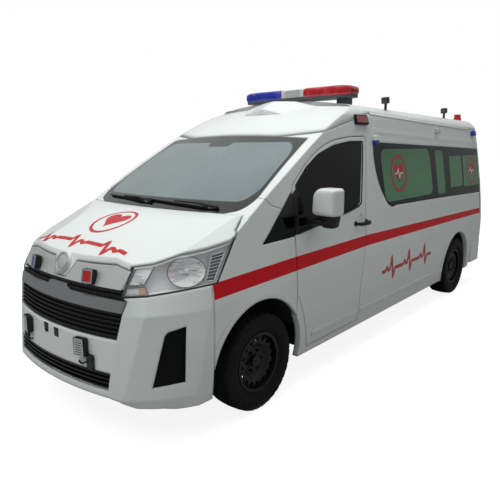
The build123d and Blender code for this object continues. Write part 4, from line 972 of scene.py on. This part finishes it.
BOWL = (0.133, 1.104)
BOWL_HALF = (0.118, 0.088)
BOWL_DEPTH = 0.050
FLUTES = 18
SLAT_PANEL = [(0.292, 1.190), (0.378, 1.206), (0.300, 1.040), (0.250, 1.040)]
INNER_LAMP = [(-0.172, 1.132), (-0.055, 1.152), (-0.122, 1.048), (-0.218, 1.040)]
TURN_LAMP = [(-0.226, 1.026), (-0.118, 1.036), (-0.098, 0.992), (-0.246, 0.982)]
AMBER_PART = [(-0.160, 1.027), (-0.122, 1.030), (-0.104, 0.997), (-0.152, 0.993)]
for side, tag in SIDES:
    facing = Vector((side * math.sin(LAMP_TURN), -math.cos(LAMP_TURN), 0))
    verts = []
    shares = (1.0, 0.93, 0.84, 0.72, 0.58, 0.44, 0.30, 0.16, 0.02)
    for share, a in product(shares, angles(FLUTES * 4)):
        flute = 0.005 * math.sin(FLUTES * a) * share * (share < 0.9)
        verts.append(lamp_point(side, BOWL[0] + BOWL_HALF[0] * share * math.cos(a),
                                BOWL[1] + BOWL_HALF[1] * share * math.sin(a),
                                0.014 + BOWL_DEPTH * (1 - share ** 2) + flute))
    faces = lattice(len(shares), FLUTES * 4)
    piece(f"lamp_bowl_{tag}", verts, faces, "bowl", smooth=True)
    rim = [(BOWL[0] + BOWL_HALF[0] * math.cos(a), BOWL[1] + BOWL_HALF[1] * math.sin(a)) for a in angles(48)]
    outlines = [lamp_outline(side, rim, 0.013, 0.0026), lamp_outline(side, INNER_LAMP, 0.013, 0.0030),
                lamp_outline(side, TURN_LAMP, 0.013, 0.0024)]
    piece(f"lamp_seams_{tag}", *merged(outlines), "black")
    bulb = lamp_point(side, *BOWL, 0.060)
    piece(f"lamp_bulb_{tag}", *lathe_mesh([(0.0, 0.017), (0.020, 0.017), (0.029, 0.013), (0.033, 0.0)],
          bulb, facing, 24), "reflector", smooth=True)
    piece(f"lamp_inner_{tag}", *lamp_patch(side, INNER_LAMP, 0.016), "bowl", slot="lens")
    piece(f"lamp_turn_{tag}", *lamp_patch(side, TURN_LAMP, 0.017), "white_lens")
    piece(f"lamp_amber_{tag}", *lamp_patch(side, AMBER_PART, 0.014, 3, 3), "amber_lens")
    # a near-black sheet behind the slats: painted shade inside the lamp
    piece(f"lamp_slat_panel_{tag}", *lamp_patch(side, SLAT_PANEL, 0.016), "void")
    a, b, c, d = (Vector(corner) for corner in SLAT_PANEL)
    slats = [lamp_outline(side, SLAT_PANEL, 0.013, 0.0022)]
    for k in range(1, 8):
        ends = [lamp_point(side, *end, 0.013) for end in (a.lerp(d, k / 8), b.lerp(c, k / 8))]
        slats.append(tube_mesh(ends, 0.0015, 6))
    piece(f"lamp_slats_{tag}", *merged(slats), "reflector")

# ---- nose ----
def nose_lamp(name, centre, size, turn_deg, tilt_deg, look, side, inset=0.0, sunk=0.0):
    """A lamp case's bright rim, and its lens or louvres."""
    turn = turned(turn_deg * side, "Z") @ turned(tilt_deg, "X")
    at = point(side * centre[0], centre[1], centre[2])
    face = at + turn @ Vector((0, -size[1] / 2 + sunk, 0))

    def on_face(x, y, z, *box):
        return face + turn @ Vector((x, y, z)), box, turn

    w, h = size[0] - 2 * inset, size[2]
    rim = [on_face(0, -0.001, s * (h / 2 - 0.007), w - 0.010, 0.005, 0.010) for s in (-1, 1)]
    rim += [on_face(s * (w / 2 - 0.007), -0.001, 0, 0.010, 0.005, h - 0.010) for s in (-1, 1)]
    boxes(f"{name}_rim", rim, "chrome", edge=0.002)
    boxes(f"{name}_lens", [on_face(0, -sunk * 0.4, 0, w - 0.024, 0.004, h - 0.024)],
          "steel" if look == "louvres" else look, slot="signal", edge=0.0015)
    if look == "louvres":
        bars = [on_face(0, -0.0025, -h / 2 + 0.021 + 0.0152 * k, w - 0.022, 0.004, 0.0095) for k in range(6)]
        boxes(f"{name}_louvres", bars, "silver", edge=0.0015)


nose_place = front_place(NOSE)


def on_nose(x, z, lift):
    """A point ahead of the nose's surface."""
    return nose_place(x, z)[0] + Vector((0, -lift, 0))


for side, tag, look in ((1, "left", "red_lens"), (-1, "right", "blue_lens")):
    nose_lamp(f"grille_lamp_{tag}", (0.333, -0.884, 1.070), (0.088, 0.044, 0.092), 14, -12, look, side)
    nose_lamp(f"bumper_lamp_{tag}", (0.340, -0.982, 0.640), (0.098, 0.040, 0.118), 12, 0, "louvres", side,
              inset=0.009, sunk=0.0025)
    boxes(f"sensor_box_{tag}", [(on_nose(side * 0.405, 0.550, 0.006), (0.070, 0.016, 0.100))], "black",
          edge=0.004)
    wire = [on_nose(side * x, z, lift) for x, z, lift in
            ((0.384, 0.548, 0.016), (0.366, 0.540, 0.022), (0.345, 0.530, 0.018), (0.322, 0.528, 0.010),
             (0.300, 0.534, 0.004))]
    piece(f"sensor_lead_{tag}", *tube_mesh(wire, 0.0055), "rubber", smooth=True)

holes = [(on_nose(x, z, 0.0005), (w, 0.004, h)) for x, z, w, h in
         ((-0.072, 0.675, 0.054, 0.066), (0.056, 0.668, 0.054, 0.062))]
boxes("plate_bracket_holes", holes, "black", edge=0.003)
clips = [(on_nose(x, z, 0.004), (0.018, 0.006, 0.018)) for x, z in ((-0.072, 0.652), (0.062, 0.690))]
boxes("plate_bracket_clips", clips, "steel", edge=0.002)

badge_out = Vector((0, -0.92, 0.39)).normalized()
badge_at = point(0, -0.868, 1.108) + badge_out * 0.009
side_way, up_way = frame_about(badge_out)
circle = [badge_at + (side_way * math.cos(a) + up_way * math.sin(a)) * 0.064
          for a in np.linspace(0, 2 * math.pi, 48, endpoint=False)]
piece("badge_ring", *tube_mesh(circle, 0.0075, 10, closed=True), "chrome", "hood", smooth=True)
dome = [(-0.001, 0.052), (0.003, 0.050), (0.0055, 0.036), (0.007, 0.018), (0.0075, 0.0)]
piece("badge_blank", *lathe_mesh(dome, badge_at, badge_out, 40), "silver", "hood", smooth=True)

# ---- rear end ----
back = front_place(TAIL, 4.2, -1.0)
blade_at = [(-0.05 + 0.50 * t, 1.300 + 0.015 * t) for t in np.linspace(0, 1, 12)]
blade = [lifted(back, *at, 0.014) for at in blade_at]
hub, out = back(-0.05, 1.262)
arm = [hub + out * 0.012]
arm += [lifted(back, *at, 0.018 + 0.02 * t) for at, t in zip(blade_at, np.linspace(0, 1, 12)) if t <= 0.6]
piece("rear_wiper", *merged([tube_mesh(arm, 0.006), tube_mesh(blade, 0.005, 6),
      lathe_mesh([(0.0, 0.026), (0.014, 0.024), (0.020, 0.016), (0.022, 0.0)], hub, out, 24)]),
      "black", "tailgate", smooth=True)

# ---- wipers ----
def wiper(name, pivot, tip, blade_from, blade_to, place):
    """An arm from its pivot to the blade, and the blade lying on the glass."""
    middle = (pivot[0] * 0.6 + tip[0] * 0.4, pivot[1] * 0.6 + tip[1] * 0.4)
    arm = [lifted(place, *p, lift) for p, lift in ((pivot, 0.012), (middle, 0.030), (tip, 0.022))]
    line = [[a + (b - a) * t for a, b in zip(blade_from, blade_to)] for t in np.linspace(0, 1, 14)]
    parts = [tube_mesh(arm, [0.011, 0.008, 0.005])]
    for lift, radius, sides in ((0.014, 0.0055, 6), (0.005, 0.0035, 4)):
        parts.append(tube_mesh([lifted(place, *p, lift) for p in line], radius, sides))
    parts.append(tube_mesh([lifted(place, *pivot, lift) for lift in (0.0, 0.020)], 0.016, 12))
    piece(name, *merged(parts), "black")


glass_place = front_place(GLASS)
wiper("wiper_left", (0.62, 1.432), (0.22, 1.447), (0.55, 1.428), (-0.10, 1.452), glass_place)
wiper("wiper_right", (-0.05, 1.440), (-0.42, 1.449), (-0.15, 1.445), (-0.67, 1.447), glass_place)

# ---- mirrors, handles and locks ----
MIRROR_OUTLINE = [(-0.106, -0.1025), (0.106, -0.1025), (0.106, 0.086), (0.086, 0.1025), (-0.052, 0.1025),
                  (-0.096, 0.058)]
MIRROR_LAYERS = [(0.060, 0.90), (0.064, 0.93), (0.064, 0.985), (0.056, 1.0), (0.010, 1.0), (-0.026, 0.99),
                 (-0.044, 0.955), (-0.055, 0.90), (-0.061, 0.80), (-0.0635, 0.60), (-0.064, 0.30)]
for side, tag in SIDES:
    body = f"door_{tag}"
    turn = turned(-8 * side, "Z")
    at = point(side * 1.097, 0.622, 1.452)
    edge = rounded_path([(x * side, z) for x, z in MIRROR_OUTLINE], 0.034)
    count = len(edge)
    verts = [at + turn @ Vector((p.x * share, depth, p.y * share))
             for (depth, share), p in product(MIRROR_LAYERS, edge)]
    layers = len(MIRROR_LAYERS)
    faces = lattice(layers, count) + [tuple(range(count)), tuple(range((layers - 1) * count, layers * count))]
    head = piece(f"mirror_head_{tag}", verts, faces, "fittings", body, smooth=True)
    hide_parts(f"door_fittings_{tag}")
    glass = [at + turn @ Vector((p.x * 0.88, 0.0612, p.y * 0.88)) for p in edge]
    piece(f"mirror_glass_{tag}", glass, [tuple(range(count))], "chrome", body)
    foot = skin([(side * 1.118, 0.640, z, a, b) for z, a, b in
                 ((1.262, 0.040, 0.034), (1.266, 0.050, 0.044), (1.278, 0.058, 0.052), (1.320, 0.066, 0.056),
                  (1.356, 0.070, 0.058))], (1, 0, 0), (0, 1, 0))
    arm = skin([(side * x, 0.640, 1.300, a, b) for x, a, b in
                ((0.905, 0.060, 0.036), (0.960, 0.056, 0.032), (1.020, 0.050, 0.028), (1.080, 0.046, 0.028))],
               (0, 1, 0), (0, 0, 1))
    piece(f"mirror_foot_{tag}", *merged([foot, arm]), "black", body, smooth=True)
    grip = ((0.958, 1.325, 0.012, 0.012), (0.985, 1.335, 0.013, 0.014), (1.000, 1.360, 0.010, 0.016),
            (1.004, 1.425, 0.009, 0.017), (1.000, 1.490, 0.010, 0.016), (0.985, 1.515, 0.013, 0.014),
            (0.958, 1.525, 0.012, 0.012))
    handle = skin([(side * x, y, 1.196, a, b) for x, y, a, b in grip], (1, 0, 0), (0, 0, 1), 16)
    cups = [lathe_mesh([(0.0, 0.024), (0.006, 0.022), (0.008, 0.010)], on_side(DOOR[side], side, y, 1.196)[0],
                       (side, 0, 0), 24) for y in (1.330, 1.520)]
    piece(f"door_handle_{tag}", *merged([handle, *cups]), "black", body, smooth=True)
    spot, out = on_side(DOOR[side], side, 1.435, 1.262)
    piece(f"door_lock_{tag}", *lathe_mesh([(-0.001, 0.012), (0.004, 0.012), (0.005, 0.009), (0.005, 0.0)],
          spot, out, 24), "chrome", body)

# ---- seats and bench ----
def pad(name, centre, size, turn, look, seams=0):
    """A stuffed pad: a rounded box that swells towards its middle, with sewn channels."""
    n = 18
    thin = size.index(min(size))
    first, second = (k for k in range(3) if k != thin)

    def corner(face, i, j):
        """A point of a cube's face, the same on the faces that share it."""
        u, v = 2 * i / n - 1, 2 * j / n - 1
        p = [(1, u, v), (-1, u, v), (u, 1, v), (u, -1, v), (u, v, 1), (u, v, -1)][face]
        return tuple(round(c, 5) for c in p)

    verts, faces, index = [], [], {}
    for key in dict.fromkeys(corner(*at) for at in product(range(6), range(n + 1), range(n + 1))):
        q = Vector(tuple(math.copysign(abs(c) ** 0.9, c) for c in key))
        q = q / (abs(q.x) ** 6 + abs(q.y) ** 6 + abs(q.z) ** 6) ** (1 / 6)
        swell = (1 - q[first] ** 2) * (1 - q[second] ** 2)
        groove = 0.0
        if seams:
            groove = 0.10 * math.exp(-((math.sin(math.pi * seams * (q[first] + 1) / 2)) ** 2) * 40)
        q[thin] *= (0.80 + 0.20 * swell) - groove
        q[thin] = max(-1.0, min(1.0, q[thin]))
        index[key] = len(verts)
        verts.append(Vector(centre) + turn @ Vector([c * s / 2 for c, s in zip(q, size)]))
    for face, i, j in product(range(6), range(n), range(n)):
        corners = [index[corner(face, i + di, j + dj)] for di, dj in ((0, 0), (1, 0), (1, 1), (0, 1))]
        faces.append(corners if face % 2 == 0 else corners[::-1])
    made = piece(name, verts, faces, look, smooth=True)
    return made


LEAN = turned(-14, "X")
UPRIGHT = Matrix.Identity(3)
first_pad = None
for side, tag in SIDES:
    x = side * 0.430
    made = pad(f"seat_cushion_{tag}", point(x, 1.110, 0.855), (0.50, 0.49, 0.14), UPRIGHT,
               "cloth", seams=4)
    pad(f"seat_back_{tag}", point(x, 1.400, 1.150), (0.48, 0.125, 0.62), LEAN, "cloth", seams=4)
    pad(f"head_rest_{tag}", point(x, 1.500, 1.520), (0.26, 0.095, 0.17), LEAN, "cloth")
    boxes(f"seat_base_{tag}", [(point(x, 1.140, 0.672), (0.40, 0.40, 0.222))], "dark_grey", edge=0.012)
    posts = []
    for dx in (-0.05, 0.05):
        posts.append(tube_mesh([point(x + dx, 1.455, 1.40), point(x + dx, 1.492, 1.49)], 0.006))
    piece(f"head_rest_posts_{tag}", *merged(posts), "chrome")
    if first_pad is None:
        first_pad = made
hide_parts("front_seats")

for k in range(2):
    pad(f"bench_pad_{k + 1}", point(0.64, 2.44 + 0.66 * k, 0.965), (0.44, 0.64, 0.08), UPRIGHT,
        "vinyl")

# ---- light bar and roof markers ----
BAR_AT = (1.797, 2.3585)
DOME = [(0.106, 0.050, 0.016), (0.111, 0.085, 0.032), (0.121, 0.108, 0.045), (0.137, 0.121, 0.051),
        (0.158, 0.125, 0.0525), (0.330, 0.125, 0.0525), (0.500, 0.125, 0.0525), (0.545, 0.121, 0.0510),
        (0.585, 0.110, 0.0480), (0.612, 0.096, 0.0420), (0.630, 0.078, 0.0330), (0.641, 0.056, 0.0200),
        (0.645, 0.028, 0.0080)]
for side, tag in ((1, "red"), (-1, "blue")):
    rings = [(side * x, *BAR_AT, a, b) for x, a, b in DOME]
    dome = piece(f"bar_dome_{tag}", *skin(rings, (0, 1, 0), (0, 0, 1), 44, 4.2), "bar_lens", smooth=True)
    if tag == "red":
        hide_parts("light_bar_lenses")
middle = [(x, *BAR_AT, 0.117, 0.0485) for x in (-0.150, 0.150)]
piece("siren_case", *skin(middle, (0, 1, 0), (0, 0, 1), 44, 5.0), "panel")
slats = [(point(0, 1.797 - 0.118, 2.330 + 0.0125 * k), (0.18, 0.006, 0.0050)) for k in range(6)]
boxes("siren_louvres", slats, "silver", edge=0.001)

ROOF_LAMPS = surface_of("roof_lamps")
for side, tag in SIDES:
    spot, out = on_side(ROOF_LAMPS, side, 1.56, 2.083)
    tilt = Matrix.Rotation(math.atan2(out.z, abs(out.x)) * -side, 3, "Y")
    boxes(f"roof_marker_rim_{tag}", [(spot - out * 0.0245, (0.050, 0.222, 0.086), tilt)], "rubber",
          edge=0.010)
    boxes(f"roof_marker_lens_{tag}", [(spot + out * 0.0005, (0.006, 0.196, 0.060), tilt)], "dark_red_lens",
          edge=0.002)

# ---- camera, light and ground ----
YAW, PITCH, ROLL = 0.7119, 0.1988, -0.0063
forward = Vector((-math.sin(YAW) * math.cos(PITCH), math.cos(YAW) * math.cos(PITCH), -math.sin(PITCH)))
right = Vector((math.cos(YAW), math.sin(YAW), 0))
up = right.cross(forward)
rolled_right = right * math.cos(ROLL) + up * math.sin(ROLL)
rolled_up = up * math.cos(ROLL) - right * math.sin(ROLL)
camera_data = bpy.data.cameras.new("camera")
camera = placed("camera", camera_data)
place = Matrix((rolled_right, rolled_up, -forward)).transposed().to_4x4()
place.translation = point(3.0877, -2.5492, 1.8458)
camera.matrix_world = place
camera_data.sensor_width = 36.0
camera_data.lens = 36.60
camera_data.clip_end = 200.0
bpy.context.scene.camera = camera


def area_light(name, location, target, size, power):
    data = bpy.data.lights.new(name, "AREA")
    data.energy = power
    data.shape = "RECTANGLE"
    data.size, data.size_y = size
    lamp = placed(name, data)
    lamp.location = location
    lamp.rotation_mode = "QUATERNION"
    lamp.rotation_quaternion = (Vector(target) - Vector(location)).to_track_quat("-Z", "Y")
    lamp.visible_glossy = False
    return lamp


area_light("key", (-1.0, -7.5, 7.5), (0, -1.5, 1.0), (7.0, 4.0), 205.0)
area_light("fill", (8.5, -3.0, 4.0), (0, 0, 1.0), (8.0, 3.0), 25.0)
area_light("top", (0.0, 0.0, 8.0), (0, 0, 1.0), (5.0, 9.0), 435.0)

world = bpy.data.worlds.new("studio")
bpy.context.scene.world = world
world.use_nodes = True
nodes, links = world.node_tree.nodes, world.node_tree.links
background = nodes["Background"]
seen = nodes.new("ShaderNodeBackground")
seen.inputs["Color"].default_value = (1, 1, 1, 1)
seen.inputs["Strength"].default_value = 1.0
coords = nodes.new("ShaderNodeTexCoord")
split = nodes.new("ShaderNodeSeparateXYZ")
links.new(coords.outputs["Generated"], split.inputs[0])
ramp = nodes.new("ShaderNodeValToRGB")
stops = ramp.color_ramp.elements
for position, shade in ((0.0, 0.10), (0.04, 0.13), (0.16, 0.22), (0.45, 0.60), (1.0, 1.0)):
    stop = stops.new(position) if 0 < position < 1 else stops[-1 if position else 0]
    stop.color = (shade * 0.97, shade, shade, 1)
links.new(split.outputs[2], ramp.inputs[0])
links.new(ramp.outputs[0], background.inputs["Color"])
background.inputs["Strength"].default_value = 0.58
rays = nodes.new("ShaderNodeLightPath")
seen_by = Num(world.node_tree, rays.outputs["Is Camera Ray"])
for kind in ("Is Glossy Ray", "Is Transmission Ray"):
    seen_by = seen_by.max(Num(world.node_tree, rays.outputs[kind]) * MIRRORED_SKY)
final = mixed(world.node_tree, seen_by, background.outputs[0], seen.outputs[0])
links.new(final, nodes["World Output"].inputs["Surface"])

ground_mesh = bpy.data.meshes.new("ground")
ground_mesh.from_pydata([(-60, -60, 0), (60, -60, 0), (60, 60, 0), (-60, 60, 0)], [], [(0, 1, 2, 3)])
ground = placed("ground", ground_mesh)
ground_look = Shader("ground_pale", (158, 160, 160), 0.9, Specular_IOR_Level=0.0, Emission_Color=(1, 1, 1, 1))
seen_glow = Num(ground_look.tree, ground_look.node("LightPath").outputs["Is Camera Ray"]) * GROUND_GLOW
ground_look.link(seen_glow.out, ground_look.bsdf.inputs["Emission Strength"])
ground_look.bsdf.inputs["Base Color"].default_value = linear(158, 160, 160)
ground_mesh.materials.append(ground_look.material)

bpy.context.scene.view_settings.view_transform = "Standard"
